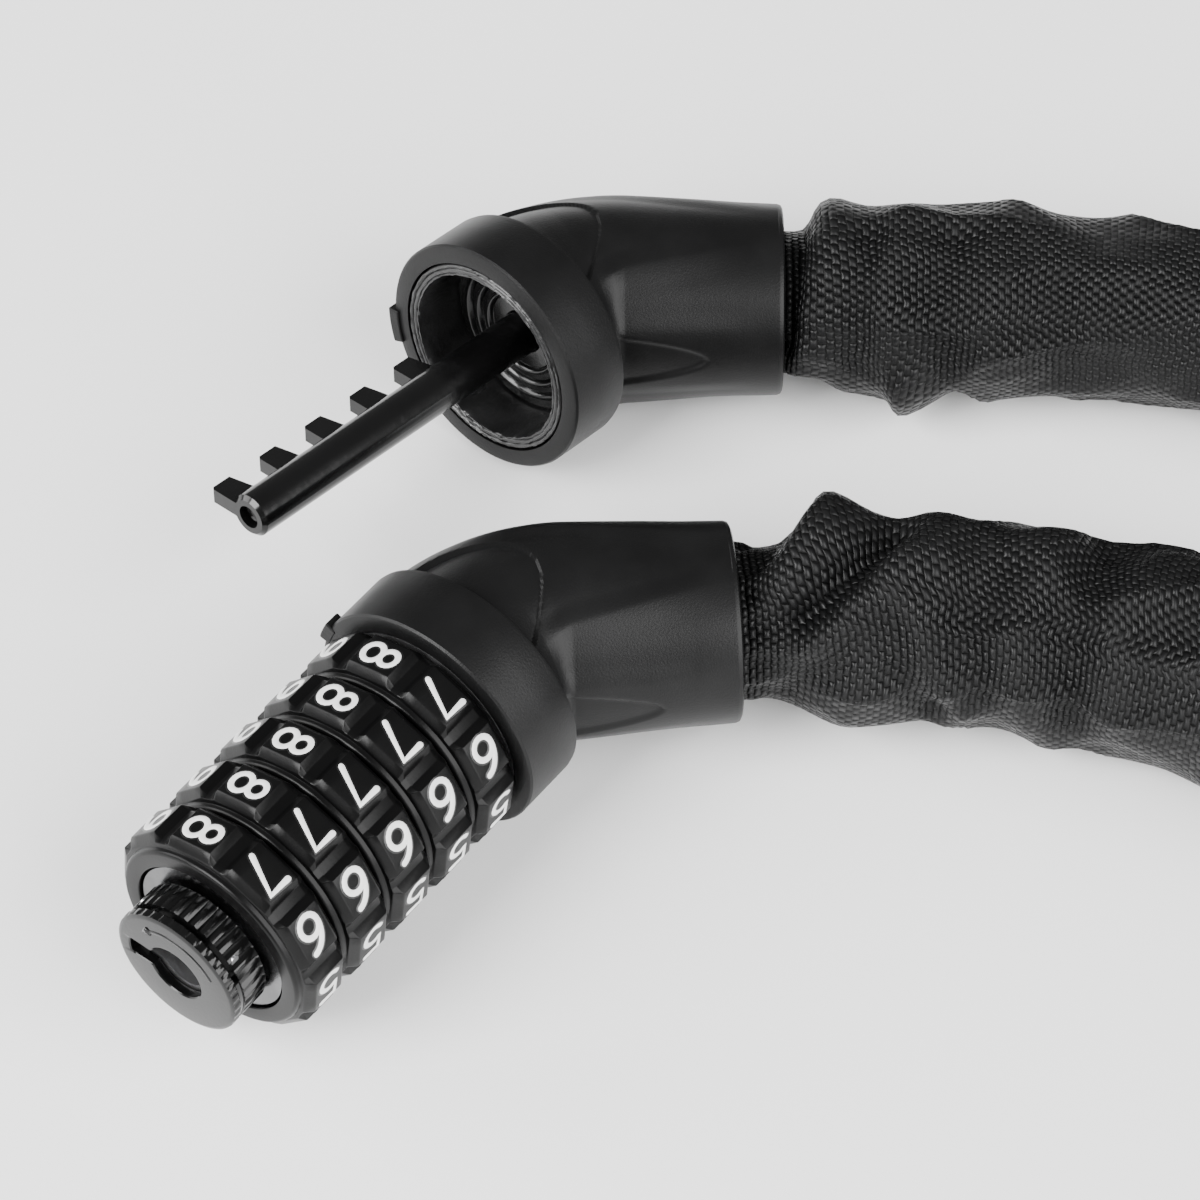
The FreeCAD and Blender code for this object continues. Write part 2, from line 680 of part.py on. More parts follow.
# ---------------------------------------------------------------- sleeve route
# Centre line of the sleeve between the two tails, chosen by hand: straight out of each tail, down to the
# table and out in one loose loop. The straight runs at its two ends are worked out from the tails.
SLEEVE_ROUTE = [
    (-102.1, 64.4, -3.5),
    (-108.0, 101.9, -3.5),
    (-101.0, 149.5, -3.5),
    (-79.5, 192.0, -3.5),
    (-58.2, 236.0, -3.5),
    (-58.2, 288.6, -3.5),
    (-89.1, 331.1, -3.5),
    (-139.0, 347.5, -3.5),
    (-188.9, 331.1, -3.5),
    (-219.8, 288.6, -3.5),
    (-219.8, 236.0, -3.5),
    (-205.0, 190.0, -3.5),
    (-187.0, 145.0, -3.5),
    (-171.0, 101.0, -3.5),
    (-157.0, 62.0, -3.5),
]


def lead_points(place, run):
    """The sleeve's end just off a tail's mouth, and the end of its straight run out of it."""
    return [place.multVec(tail_end() + tail_direction() * far) for far in (size("leadOut"), size(run))]


def route_points():
    """The whole route, from the dial end's tail to the bolt end's."""
    start = lead_points(dial_end_place, "firstRunDial")
    finish = lead_points(bolt_end_place, "firstRunBolt")
    return start + [Vector(*point) for point in SLEEVE_ROUTE] + finish[::-1]


def rounded_path(points):
    """Straight runs joined by tangent arcs, each as large as its two runs allow."""
    edges = []
    radii = []
    here = points[0]
    for before, corner, after in zip(points, points[1:], points[2:]):
        arriving = corner - before
        leaving = after - corner
        setback = 0.45 * min(arriving.Length, leaving.Length)
        turn = arriving.getAngle(leaving)
        radii.append(setback / math.tan(turn / 2))
        into = corner - Vector(arriving).normalize() * setback
        out = corner + Vector(leaving).normalize() * setback
        inward = (Vector(leaving).normalize() - Vector(arriving).normalize()).normalize()
        middle = corner + inward * (radii[-1] * (1 / math.cos(turn / 2) - 1))
        edges.append(Part.LineSegment(here, into).toShape())
        edges.append(Part.Arc(into, middle, out).toShape())
        here = out
    edges.append(Part.LineSegment(here, points[-1]).toShape())
    return edges, radii


def circle_wire(place, direction, radius):
    return Part.Wire(Part.Circle(place, direction, radius).toShape())


def ring(place, direction, outer, inner, length):
    """A short straight tube from a place along a direction."""
    around = Part.makeCylinder(outer, length, place, direction)
    return around.cut(Part.makeCylinder(inner, length, place, direction))


def make_sleeve():
    """Woven tube over the chain, tucked at both ends into the covers' tails."""
    points = route_points()
    edges, radii = rounded_path(points)
    print("sleeve radii", [round(radius, 1) for radius in radii])
    path = Part.Wire(edges)
    outer = size("sleeveDiameter") / 2
    inner = outer - size("sleeveWall")
    neck_outer = size("tailDiameter") / 2 - size("tailWall") - 0.2
    neck_inner = neck_outer - size("sleeveWall")
    ahead = points[1] - points[0]
    around = path.makePipeShell([circle_wire(points[0], ahead, outer)], True, False)
    hollow = path.makePipeShell([circle_wire(points[0], ahead, inner)], True, False)
    tube = around.cut(hollow)
    section = math.pi * (outer ** 2 - inner ** 2)
    print("sleeve length", round(path.Length, 2), "volume", round(tube.Volume, 1),
          "section x length", round(section * path.Length, 1))
    joined = tube
    for place in (dial_end_place, bolt_end_place):
        mouth = place.multVec(tail_end())
        outward = place.Rotation.multVec(tail_direction())
        reach = size("neckLength")
        neck = ring(mouth - outward * reach, outward, neck_outer, neck_inner, reach + size("leadOut"))
        fold = ring(mouth + outward * size("mouthGap"), outward, (outer + inner) / 2,
                    (neck_outer + neck_inner) / 2, size("sleeveWall"))
        joined = joined.fuse([neck, fold])
    sleeve = doc.addObject("Part::Feature", "sleeve")
    sleeve.Shape = joined
    return keep("sleeve", sleeve), edges


sleeve, sleeve_edges = make_sleeve()


# ---------------------------------------------------------------- chain
def chain_link():
    """One round-wire link along X, its opening facing Z."""
    bend = (size("linkSlot") + size("linkWire")) / 2
    straight = (size("linkInside") - size("linkSlot")) / 2
    corners = [Vector(-straight, -bend, 0), Vector(straight, -bend, 0),
               Vector(straight, bend, 0), Vector(-straight, bend, 0)]
    ends = [Vector(straight + bend, 0, 0), Vector(-straight - bend, 0, 0)]
    path = Part.Wire([
        Part.LineSegment(corners[0], corners[1]).toShape(),
        Part.Arc(corners[1], ends[0], corners[2]).toShape(),
        Part.LineSegment(corners[2], corners[3]).toShape(),
        Part.Arc(corners[3], ends[1], corners[0]).toShape(),
    ])
    wire = Part.Wire(Part.Circle(corners[0], Vector(1, 0, 0), size("linkWire") / 2).toShape())
    return path.makePipeShell([wire], True, False)


def along(edges, distance):
    """The point at a distance along a row of edges."""
    for edge in edges[:-1]:
        if distance <= edge.Length:
            return edge.valueAt(edge.getParameterByLength(distance))
        distance -= edge.Length
    last = edges[-1]
    return last.valueAt(last.getParameterByLength(min(distance, last.Length)))


def make_chain():
    """Links from one yoke's pin to the other's, each turned a quarter from the last."""
    pin_place = Vector(-size("yokeBack"), size("yokeSide"), 0)
    first_pin = dial_end_place.multVec(pin_place)
    last_pin = bolt_end_place.multVec(pin_place)
    path = [Part.LineSegment(first_pin, dial_end_place.multVec(tail_end())).toShape()]
    path += sleeve_edges
    path.append(Part.LineSegment(bolt_end_place.multVec(tail_end()), last_pin).toShape())
    length = sum(edge.Length for edge in path)
    start = (size("linkInside") - size("chainPin")) / 2
    usable = length - 2 * start
    steps = 2 * round(usable / size("linkPitch") / 2)
    pitch = usable / steps
    print("chain links", steps + 1, "pitch", round(pitch, 2))
    link = chain_link()
    bolt_up = bolt_end_place.Rotation.multVec(Vector(0, 0, 1))
    groups = {"chain_links_flat": [], "chain_links_upright": []}
    for number in range(steps + 1):
        centre_at = start + number * pitch
        middle = along(path, centre_at)
        ahead = along(path, min(centre_at + 8, length)) - along(path, max(centre_at - 8, 0))
        blend = max(0.0, 1 - (length - centre_at) / 60)
        up = Vector(0, 0, 1) * (1 - blend) + bolt_up * blend
        flat = number % 2 == 0
        side = up.cross(ahead)
        turn = FreeCAD.Rotation(ahead, side, up, "XZY")
        if not flat:
            turn = turn.multiply(FreeCAD.Rotation(Vector(1, 0, 0), 90))
        solid = link.copy()
        solid.Placement = FreeCAD.Placement(middle, turn)
        groups["chain_links_flat" if flat else "chain_links_upright"].append(solid)
    for label, solids in groups.items():
        node = doc.addObject("Part::Feature", label)
        node.Shape = Part.makeCompound(solids)
        keep(label, node)


make_chain()


# ---------------------------------------------------------------- check and write
doc.recompute()
for thing in doc.Objects:
    if "Invalid" in thing.State or "Error" in thing.State:
        raise RuntimeError(f"{thing.Label}: {thing.State}")
os.makedirs("parts", exist_ok=True)
for label, thing in pieces.items():
    if thing.Shape.isNull() or not thing.Shape.isValid():
        raise RuntimeError(f"{label}: the shape is not valid")
    thing.Shape.exportStep(f"parts/{label}.step")
    box = thing.Shape.BoundBox
    print(f"{label}: solids {len(thing.Shape.Solids)}, volume {thing.Shape.Volume:.1f},",
          f"x {box.XMin:.1f}..{box.XMax:.1f}, y {box.YMin:.1f}..{box.YMax:.1f}, z {box.ZMin:.1f}..{box.ZMax:.1f}")
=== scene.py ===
# %% [markdown]
# # A chain lock with five dials
# The lock's metal and its moving parts come from the CAD frame, which stays where it is. This lesson
# gives it its skins: two moulded elbow covers, five numbered dials, a ribbed knob and a woven sleeve.
# Everything is in metres, in the CAD's own frame: +X runs out of the keyhole and +Z is up.

# %% Load the frame
import bisect
import json
import math
import bmesh
import bpy
from mathutils import Matrix, Vector, noise


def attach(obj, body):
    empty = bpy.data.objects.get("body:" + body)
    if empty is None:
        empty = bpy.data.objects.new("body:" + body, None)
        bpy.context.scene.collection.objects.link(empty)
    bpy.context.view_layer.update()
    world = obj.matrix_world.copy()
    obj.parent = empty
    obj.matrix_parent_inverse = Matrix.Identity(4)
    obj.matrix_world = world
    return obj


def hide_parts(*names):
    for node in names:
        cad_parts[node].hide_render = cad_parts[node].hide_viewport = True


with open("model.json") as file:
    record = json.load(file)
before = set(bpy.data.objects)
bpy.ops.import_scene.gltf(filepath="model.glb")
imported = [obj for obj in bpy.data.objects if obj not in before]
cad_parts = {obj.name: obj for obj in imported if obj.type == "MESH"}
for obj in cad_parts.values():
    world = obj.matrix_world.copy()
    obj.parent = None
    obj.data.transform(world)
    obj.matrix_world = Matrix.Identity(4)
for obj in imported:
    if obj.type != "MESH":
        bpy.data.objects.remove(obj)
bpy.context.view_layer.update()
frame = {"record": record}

MM = 0.001

# %% [markdown]
# ## The camera
# A long lens from above and in front, so the dials and the bolt both point down to the left. The camera
# looks along a direction given by its right and up vectors, which a rotation matrix holds as columns.

# %% Camera
CAMERA_PLACE = Vector((204.4, 209.9, 413.8)) * MM
camera_right = Vector((-0.6044, 0.7967, 0.0)).normalized()
camera_back = Vector((0.5046, 0.3828, 0.7738)).normalized()
camera_up = camera_back.cross(camera_right).normalized()
camera_right = camera_up.cross(camera_back).normalized()
camera_data = bpy.data.cameras.new("camera")
camera_data.lens = 135
camera_data.sensor_width = 36
camera_data.clip_start = 0.01
camera = bpy.data.objects.new("camera", camera_data)
turn = Matrix((camera_right, camera_up, camera_back)).transposed().to_4x4()
camera.matrix_world = Matrix.Translation(CAMERA_PLACE) @ turn
bpy.context.collection.objects.link(camera)
bpy.context.scene.camera = camera
print("camera stands", round(CAMERA_PLACE.length, 3), "m from the keyhole")

# %% [markdown]
# ## Where the two lock units stand
# Both elbow covers are one moulding, drawn once in its own frame: the rim plane is at x = 0 and the
# mouth faces +X. Each unit's place is a matrix that moves that drawing to where the CAD has it.

# %% Unit places
BEND_RADIUS = 15.4 * MM
BEND_ANGLE = math.radians(48)
COLLAR_LENGTH = 9.0 * MM
TAIL_LENGTH = 19.8 * MM
tail_direction = Vector((-math.cos(BEND_ANGLE), math.sin(BEND_ANGLE), 0))
STACK = 38.75 * MM
dial_end = Matrix.Translation((-STACK, 0, 0))
yaw = Matrix.Rotation(math.radians(-4.8), 4, "Z")
roll = Matrix.Rotation(math.radians(-9.2), 4, yaw.to_3x3() @ tail_direction)
bolt_end = Matrix.Translation(Vector((-87.1, -29.3, 0.9)) * MM) @ roll @ yaw
TABLE = -15.5 * MM


def bent(back, across, up):
    """A point of the straight drawing, taken round the bend: back is the distance behind the rim."""
    arc = BEND_RADIUS * BEND_ANGLE
    if back <= COLLAR_LENGTH:
        return Vector((-back, across, up))
    turned = min((back - COLLAR_LENGTH) / BEND_RADIUS, BEND_ANGLE)
    inward = Vector((math.sin(turned), math.cos(turned), 0))
    centre = Vector((-COLLAR_LENGTH, BEND_RADIUS, 0)) - inward * BEND_RADIUS
    straight = max(0.0, back - COLLAR_LENGTH - arc)
    return centre + tail_direction * straight + inward * across + Vector((0, 0, up))


mouth_length = COLLAR_LENGTH + BEND_RADIUS * BEND_ANGLE + TAIL_LENGTH
print("covers are", round(mouth_length / MM, 1), "mm along their centre line")

# %% [markdown]
# ## The sleeve's route
# The sleeve is a limp woven tube with a chain inside. Its line is a smooth NURBS curve with a few given
# points: straight out of each tail, down to the table, and round in one loose loop.

# %% Route of the sleeve
SLEEVE_POINTS = [
    (-69.8, 16.8, 0.0),
    (-88.5, 37.6, 0.0),
    (-102.1, 64.4, -3.5),
    (-108.0, 101.9, -3.5),
    (-101.0, 149.5, -3.5),
    (-79.5, 192.0, -3.5),
    (-58.2, 236.0, -3.5),
    (-58.2, 288.6, -3.5),
    (-89.1, 331.1, -3.5),
    (-139.0, 347.5, -3.5),
    (-188.9, 331.1, -3.5),
    (-219.8, 288.6, -3.5),
    (-219.8, 236.0, -3.5),
    (-205.0, 190.0, -3.5),
    (-187.0, 145.0, -3.5),
    (-171.0, 101.0, -3.5),
    (-157.0, 62.0, -3.5),
    (-139.5, 20.4, -1.0),
    (-116.5, -9.8, -1.0),
]
route_data = bpy.data.curves.new("sleeve_route", "CURVE")
route_data.dimensions = "3D"
route_data.resolution_u = 40
spline = route_data.splines.new("NURBS")
spline.points.add(len(SLEEVE_POINTS) - 1)
for point, place in zip(spline.points, SLEEVE_POINTS):
    point.co = (place[0] * MM, place[1] * MM, place[2] * MM, 1)
spline.order_u = 3
spline.use_endpoint_u = True
route = bpy.data.objects.new("sleeve_route", route_data)
bpy.context.collection.objects.link(route)
line = bpy.data.meshes.new_from_object(route)
centre_line = [vertex.co.copy() for vertex in line.vertices]
bpy.data.objects.remove(route)
reached = [0.0]
for before, after in zip(centre_line, centre_line[1:]):
    reached.append(reached[-1] + (after - before).length)
sleeve_length = reached[-1]
print("sleeve line:", len(centre_line), "points,", round(sleeve_length, 4), "m")

# %% [markdown]
# ## Modelling helpers
# `skin` draws a wall through a row of rings: it starts from a circle, and each next ring is extruded and
# set in place. It makes turned parts, the dials' many-sided rings and the bent covers alike.

# %% Helpers for pieces


def nothing_selected():
    if bpy.context.object and bpy.context.object.mode != "OBJECT":
        bpy.ops.object.mode_set(mode="OBJECT")
    bpy.ops.object.select_all(action="DESELECT")


def pick(piece):
    nothing_selected()
    piece.select_set(True)
    bpy.context.view_layer.objects.active = piece


def rounding(place):
    return tuple(round(value, 8) for value in place)


def skin(name, rings, closed=True, capped=False):
    """A wall through rings of points; closed joins the last ring to the first, capped fills both ends."""
    nothing_selected()
    bpy.ops.mesh.primitive_circle_add(vertices=len(rings[0]), radius=1, location=(0, 0, 0))
    piece = bpy.context.object
    piece.name = name
    piece.data.name = name
    bpy.ops.object.mode_set(mode="EDIT")
    bpy.ops.mesh.select_all(action="SELECT")
    edit = bmesh.from_edit_mesh(piece.data)
    edit.verts.ensure_lookup_table()
    for vertex, place in zip(edit.verts, rings[0]):
        vertex.co = place
    here = rings[0]
    around = rings[1:] + ([rings[0]] if closed else [])
    for ring in around:
        bmesh.update_edit_mesh(piece.data)
        bpy.ops.mesh.extrude_edges_move()
        edit = bmesh.from_edit_mesh(piece.data)
        goal = {rounding(Vector(old)): new for old, new in zip(here, ring)}
        exact = {}
        for vertex in edit.verts:
            if vertex.select:
                exact[vertex] = goal.get(rounding(vertex.co)) or nearest(vertex.co, here, ring)
        for vertex, place in exact.items():
            vertex.co = place
        here = ring
    bmesh.update_edit_mesh(piece.data)
    bpy.ops.mesh.select_all(action="SELECT")
    bpy.ops.mesh.remove_doubles(threshold=1e-7)
    if capped:
        bpy.ops.mesh.select_all(action="DESELECT")
        bpy.ops.mesh.select_non_manifold(extend=False)
        bpy.ops.mesh.edge_face_add()
        bpy.ops.mesh.select_all(action="SELECT")
    bpy.ops.mesh.normals_make_consistent(inside=False)
    bpy.ops.object.mode_set(mode="OBJECT")
    return piece


def nearest(place, here, ring):
    best = min(range(len(here)), key=lambda index: (Vector(here[index]) - place).length_squared)
    return ring[best]


def smooth(piece, degrees=30):
    pick(piece)
    bpy.ops.object.shade_smooth_by_angle(angle=math.radians(degrees))


def carried(piece, matrix):
    """Move a piece's mesh, so that its object stays at the origin."""
    piece.data.transform(matrix)
    piece.data.update()


def soft_step(value, low, high):
    share = min(1.0, max(0.0, (value - low) / (high - low)))
    return share * share * (3 - 2 * share)


def round_ring(x, radius, count=96):
    turns = [2 * math.pi * step / count for step in range(count)]
    return [Vector((x, radius * math.cos(a), radius * math.sin(a))) for a in turns]


print("helpers ready")

# %% [markdown]
# ## Shared finishes
# Moulded plastic and cast metal both show a fine grain. One node group makes it: noise that moves the
# roughness and lifts the surface a little. Each material sets its own scale and depth.

# %% Grain group


def link(tree, start, end):
    tree.links.new(start, end)


def grain_group():
    """Fine grain: a roughness that varies and a bumped normal."""
    group = bpy.data.node_groups.new("grain", "ShaderNodeTree")
    face = group.interface
    for label, kind, value in (("Scale", "NodeSocketFloat", 900.0), ("Depth", "NodeSocketFloat", 0.3),
                               ("Roughness", "NodeSocketFloat", 0.5), ("Spread", "NodeSocketFloat", 0.1)):
        socket = face.new_socket(label, in_out="INPUT", socket_type=kind)
        socket.default_value = value
    face.new_socket("Roughness", in_out="OUTPUT", socket_type="NodeSocketFloat")
    face.new_socket("Normal", in_out="OUTPUT", socket_type="NodeSocketVector")
    nodes = group.nodes
    entry = nodes.new("NodeGroupInput")
    leave = nodes.new("NodeGroupOutput")
    place = nodes.new("ShaderNodeTexCoord")
    fine = nodes.new("ShaderNodeTexNoise")
    fine.inputs["Detail"].default_value = 3
    coarse = nodes.new("ShaderNodeTexNoise")
    coarse.inputs["Scale"].default_value = 70
    link(group, place.outputs["Object"], fine.inputs["Vector"])
    link(group, place.outputs["Object"], coarse.inputs["Vector"])
    link(group, entry.outputs["Scale"], fine.inputs["Scale"])
    centred = nodes.new("ShaderNodeMath")
    centred.operation = "SUBTRACT"
    centred.inputs[1].default_value = 0.5
    link(group, coarse.outputs["Fac"], centred.inputs[0])
    spread = nodes.new("ShaderNodeMath")
    spread.operation = "MULTIPLY_ADD"
    link(group, centred.outputs[0], spread.inputs[0])
    link(group, entry.outputs["Spread"], spread.inputs[1])
    link(group, entry.outputs["Roughness"], spread.inputs[2])
    bump = nodes.new("ShaderNodeBump")
    bump.inputs["Distance"].default_value = 0.0002
    link(group, entry.outputs["Depth"], bump.inputs["Strength"])
    link(group, fine.outputs["Fac"], bump.inputs["Height"])
    link(group, spread.outputs[0], leave.inputs["Roughness"])
    link(group, bump.outputs["Normal"], leave.inputs["Normal"])
    return group


GRAIN = grain_group()


def grained(name, dark, light, roughness, spread=0.1, scale=900.0, depth=0.3, metallic=0.0, **sockets):
    """A material whose colour drifts between two tones and whose surface has grain."""
    material = bpy.data.materials.new(name)
    material.use_nodes = True
    tree = material.node_tree
    shader = tree.nodes["Principled BSDF"]
    place = tree.nodes.new("ShaderNodeTexCoord")
    drift = tree.nodes.new("ShaderNodeTexNoise")
    drift.inputs["Scale"].default_value = 160
    drift.inputs["Detail"].default_value = 6
    link(tree, place.outputs["Object"], drift.inputs["Vector"])
    tones = tree.nodes.new("ShaderNodeValToRGB")
    tones.color_ramp.elements[0].position = 0.35
    tones.color_ramp.elements[1].position = 0.7
    tones.color_ramp.elements[0].color = (*dark, 1)
    tones.color_ramp.elements[1].color = (*light, 1)
    link(tree, drift.outputs["Fac"], tones.inputs["Fac"])
    link(tree, tones.outputs["Color"], shader.inputs["Base Color"])
    grain = tree.nodes.new("ShaderNodeGroup")
    grain.node_tree = GRAIN
    grain.inputs["Scale"].default_value = scale
    grain.inputs["Depth"].default_value = depth
    grain.inputs["Roughness"].default_value = roughness
    grain.inputs["Spread"].default_value = spread
    link(tree, grain.outputs["Roughness"], shader.inputs["Roughness"])
    link(tree, grain.outputs["Normal"], shader.inputs["Normal"])
    shader.inputs["Metallic"].default_value = metallic
    for socket, value in sockets.items():
        shader.inputs[socket.replace("_", " ")].default_value = value
    return material


def grey(value):
    return (value, value, value * 1.02)


# %% Materials
MATERIALS = {
    "cover_plastic": grained("cover_abs", grey(0.0035), grey(0.0055),
                             0.40, 0.10, 4200, 0.16, Specular_IOR_Level=0.2),
    "dial_plastic": grained("dial_abs", grey(0.002), grey(0.003),
                            0.30, 0.08, 2500, 0.04, Specular_IOR_Level=0.16),
    "knob_plastic": grained("knob_gloss", grey(0.002), grey(0.003),
                            0.18, 0.1, 1500, 0.06, Specular_IOR_Level=0.35),
    "black_steel": grained("black_enamel", grey(0.002), grey(0.003),
                           0.17, 0.12, 900, 0.10, Specular_IOR_Level=0.4),
    "black_zinc": grained("black_casting", grey(0.004), grey(0.02), 0.34, 0.3, 900, 0.6),
    "zinc": grained("die_cast_zinc", grey(0.30), grey(0.42), 0.38, 0.2, 1500, 0.4, 1.0),
    "spring_steel": grained("bright_steel", grey(0.10), grey(0.18), 0.25, 0.15, 1500, 0.1, 1.0),
    "pin_steel": grained("turned_steel", grey(0.4), grey(0.55), 0.3, 0.15, 1500, 0.1, 1.0),
    "chain_steel": grained("hardened_steel", grey(0.25), grey(0.4), 0.35, 0.2, 900, 0.2, 1.0),
    "ring_brass": grained("machined_brass", (0.55, 0.38, 0.12), (0.7, 0.5, 0.2),
                          0.3, 0.1, 1500, 0.1, 1.0),
}
for subpart in frame["record"]["subparts"]:
    finish = MATERIALS.get(subpart["material_slot"])
    node = bpy.data.objects.get(subpart["node"])
    if finish and node:
        node.data.materials.clear()
        node.data.materials.append(finish)

# %% [markdown]
# ## The elbow covers
# Each cover is a moulding with a plain collar, a waist and a tapering tail. It is drawn straight, as
# rings whose radius is the outline less the sunk panels, and then taken round the bend. The upper and
# lower shells are cut from it at the seam.

# %% Elbow outline
OUTLINE = [(9.4, 14.35), (11.0, 14.1), (14.0, 13.7), (19.0, 13.25), (25.0, 12.95), (31.0, 12.6),
           (36.0, 12.25), (41.2, 12.0)]


def outline_radius(back):
    """Radius of the cover behind its collar, in millimetres."""
    for (x0, r0), (x1, r1) in zip(OUTLINE, OUTLINE[1:]):
        if back <= x1:
            return r0 + (r1 - r0) * max(0.0, (back - x0) / (x1 - x0))
    return OUTLINE[-1][1]


def sunk(back, angle):
    """Depth of the sunk panels, in millimetres; angle is in degrees from the inside of the bend."""
    angle = (angle + 180) % 360 - 180
    high = abs(angle)
    # half-round panel against the collar, on the top and on the bottom
    reach = math.hypot((back - 8.6) / 10.6, (high - 91) / 41)
    panel = (0.25 + 0.55 * reach * reach) * (1 - soft_step(reach, 0.93, 1.0))
    # broad flat that widens to the tail between two soft creases
    low_edge = 48 + 1.05 * (back - 12)
    high_edge = 134 - 1.0 * (back - 12)
    inside = min(soft_step(high - low_edge, -5, 9), soft_step(high_edge - high, -6, 10))
    flat = 0.45 * inside * soft_step(back, 9.5, 19) * (1 - 0.75 * soft_step(back, 26, 41))
    # long leaf on the inside of the bend
    leaf_half = 21 * math.sqrt(max(0.0, 1 - max(0.0, (back - 9.4) / 23.0) ** 1.6))
    leaf = 0.4 * (1 - soft_step(high, leaf_half - 3.6, leaf_half)) * soft_step(leaf_half, 0.5, 6)
    # hollow between the crease and the leaf
    hollow = 0.3 * soft_step(high, 18, 32) * (1 - soft_step(high - low_edge, -20, 0))
    hollow *= soft_step(back, 10, 18) * (1 - soft_step(back, 30, 41))
    return max(panel, flat, leaf, hollow)


def cover_ring(back, radius, panels=False, count=288):
    ring = []
    for step in range(count):
        angle = 360 * step / count
        r = radius - (sunk(back, angle) if panels else 0)
        turned = math.radians(angle)
        ring.append(bent(back * MM, r * math.cos(turned) * MM, r * math.sin(turned) * MM))
    return ring


# %% Elbow cover
TAIL_BACK = mouth_length / MM


def make_cover():
    rings = [cover_ring(0.0, 13.1), cover_ring(0.0, 13.3), cover_ring(0.0, 15.0), cover_ring(0.12, 15.3),
             cover_ring(0.4, 15.5), cover_ring(4.5, 15.5), cover_ring(8.3, 15.5), cover_ring(8.75, 15.4),
             cover_ring(8.98, 15.05), cover_ring(9.05, 14.7)]
    back = 9.2
    while back < TAIL_BACK - 0.7:
        rings.append(cover_ring(back, outline_radius(back), True))
        back += 0.3
    rings += [cover_ring(TAIL_BACK - 0.6, 12.0), cover_ring(TAIL_BACK - 0.2, 11.85),
              cover_ring(TAIL_BACK, 11.5), cover_ring(TAIL_BACK, 10.5), cover_ring(TAIL_BACK - 0.3, 10.25)]
    rings += [cover_ring(back, 10.3 if back > 26 else 10.9) for back in (36, 30, 26, 22, 18, 14, 10)]
    rings += [cover_ring(9.0, 12.6), cover_ring(8.6, 13.1), cover_ring(4.0, 13.1)]
    return skin("cover", rings)


whole_cover = make_cover()
print("cover has", len(whole_cover.data.polygons), "faces")

# %% [markdown]
# The two shells meet in the plane of the bend. Each is a copy cut with bisect, just off that plane, so a
# hairline seam shows between them as it does on a real moulding.

# %% Two shells
SEAM = 0.03 * MM


def half_cover(name, side):
    """The part of the whole cover on one side of the seam."""
    piece = whole_cover.copy()
    piece.data = whole_cover.data.copy()
    piece.name = name
    piece.data.name = name
    bpy.context.collection.objects.link(piece)
    pick(piece)
    bpy.ops.object.mode_set(mode="EDIT")
    bpy.ops.mesh.select_all(action="SELECT")
    bpy.ops.mesh.bisect(plane_co=(0, 0, side * SEAM), plane_no=(0, 0, side), use_fill=True,
                        clear_inner=True, clear_outer=False)
    bpy.ops.object.mode_set(mode="OBJECT")
    smooth(piece, 32)
    return piece


for unit, place in (("dial_end", dial_end), ("bolt_end", bolt_end)):
    for half, side in (("top", 1), ("bottom", -1)):
        shell = half_cover(f"{unit}_shell_{half}", side)
        carried(shell, place)
        shell.data.materials.clear()
        shell.data.materials.append(MATERIALS["cover_plastic"])
        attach(shell, "lock_body")
        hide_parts(f"{unit}_cover_{half}")
        print(shell.name, len(shell.data.polygons), "faces")
bpy.data.objects.remove(whole_cover)

# %% [markdown]
# ## The cup round the bolt
# The cup is a rough black casting. Its rim was never finished, so its edges wander: the rings near the
# rim take seeded noise. At the bottom lies a pressed washer whose ridges catch thin arcs of light.

# %% Cup and washer


def rough_ring(x, radius, rough=0.0, count=240):
    ring = []
    for step in range(count):
        angle = 2 * math.pi * step / count
        around = Vector((math.cos(angle), math.sin(angle), 0))
        chip = noise.noise(around * 9 + Vector((x * 5, radius, 0))) + 0.6 * noise.noise(around * 31)
        r = radius + rough * chip
        lift = 0.6 * rough * noise.noise(around * 17 + Vector((radius * 7, 0, 0)))
        ring.append(Vector((x + lift, r * math.cos(angle), r * math.sin(angle))) * MM)
    return ring


def dress(piece, body, finish, replaced=None, degrees=35):
    """Finish and body for one piece, and the CAD node it stands in for."""
    smooth(piece, degrees)
    piece.data.materials.clear()
    piece.data.materials.append(finish)
    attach(piece, body)
    if replaced:
        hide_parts(replaced)


def make_cup():
    rings = [rough_ring(-9.0, 2.95), rough_ring(-9.0, 12.88),
             rough_ring(-0.9, 12.88), rough_ring(-0.3, 12.85, 0.03),
             rough_ring(-0.06, 12.72, 0.10), rough_ring(0.0, 12.55, 0.14), rough_ring(-0.10, 12.38, 0.12),
             rough_ring(-0.30, 12.28, 0.10), rough_ring(-0.14, 12.15, 0.12), rough_ring(-0.04, 11.95, 0.08),
             rough_ring(-0.08, 11.78, 0.10), rough_ring(-0.26, 11.66, 0.10), rough_ring(-0.12, 11.52, 0.14),
             rough_ring(-0.12, 11.38, 0.16), rough_ring(-0.45, 11.28, 0.08), rough_ring(-1.2, 11.22),
             rough_ring(-7.5, 11.2), rough_ring(-7.5, 2.95)]
    cup = skin("cup_casting", rings)
    carried(cup, bolt_end)
    dress(cup, "lock_body", MATERIALS["black_zinc"], "bolt_cup", 50)
    return cup


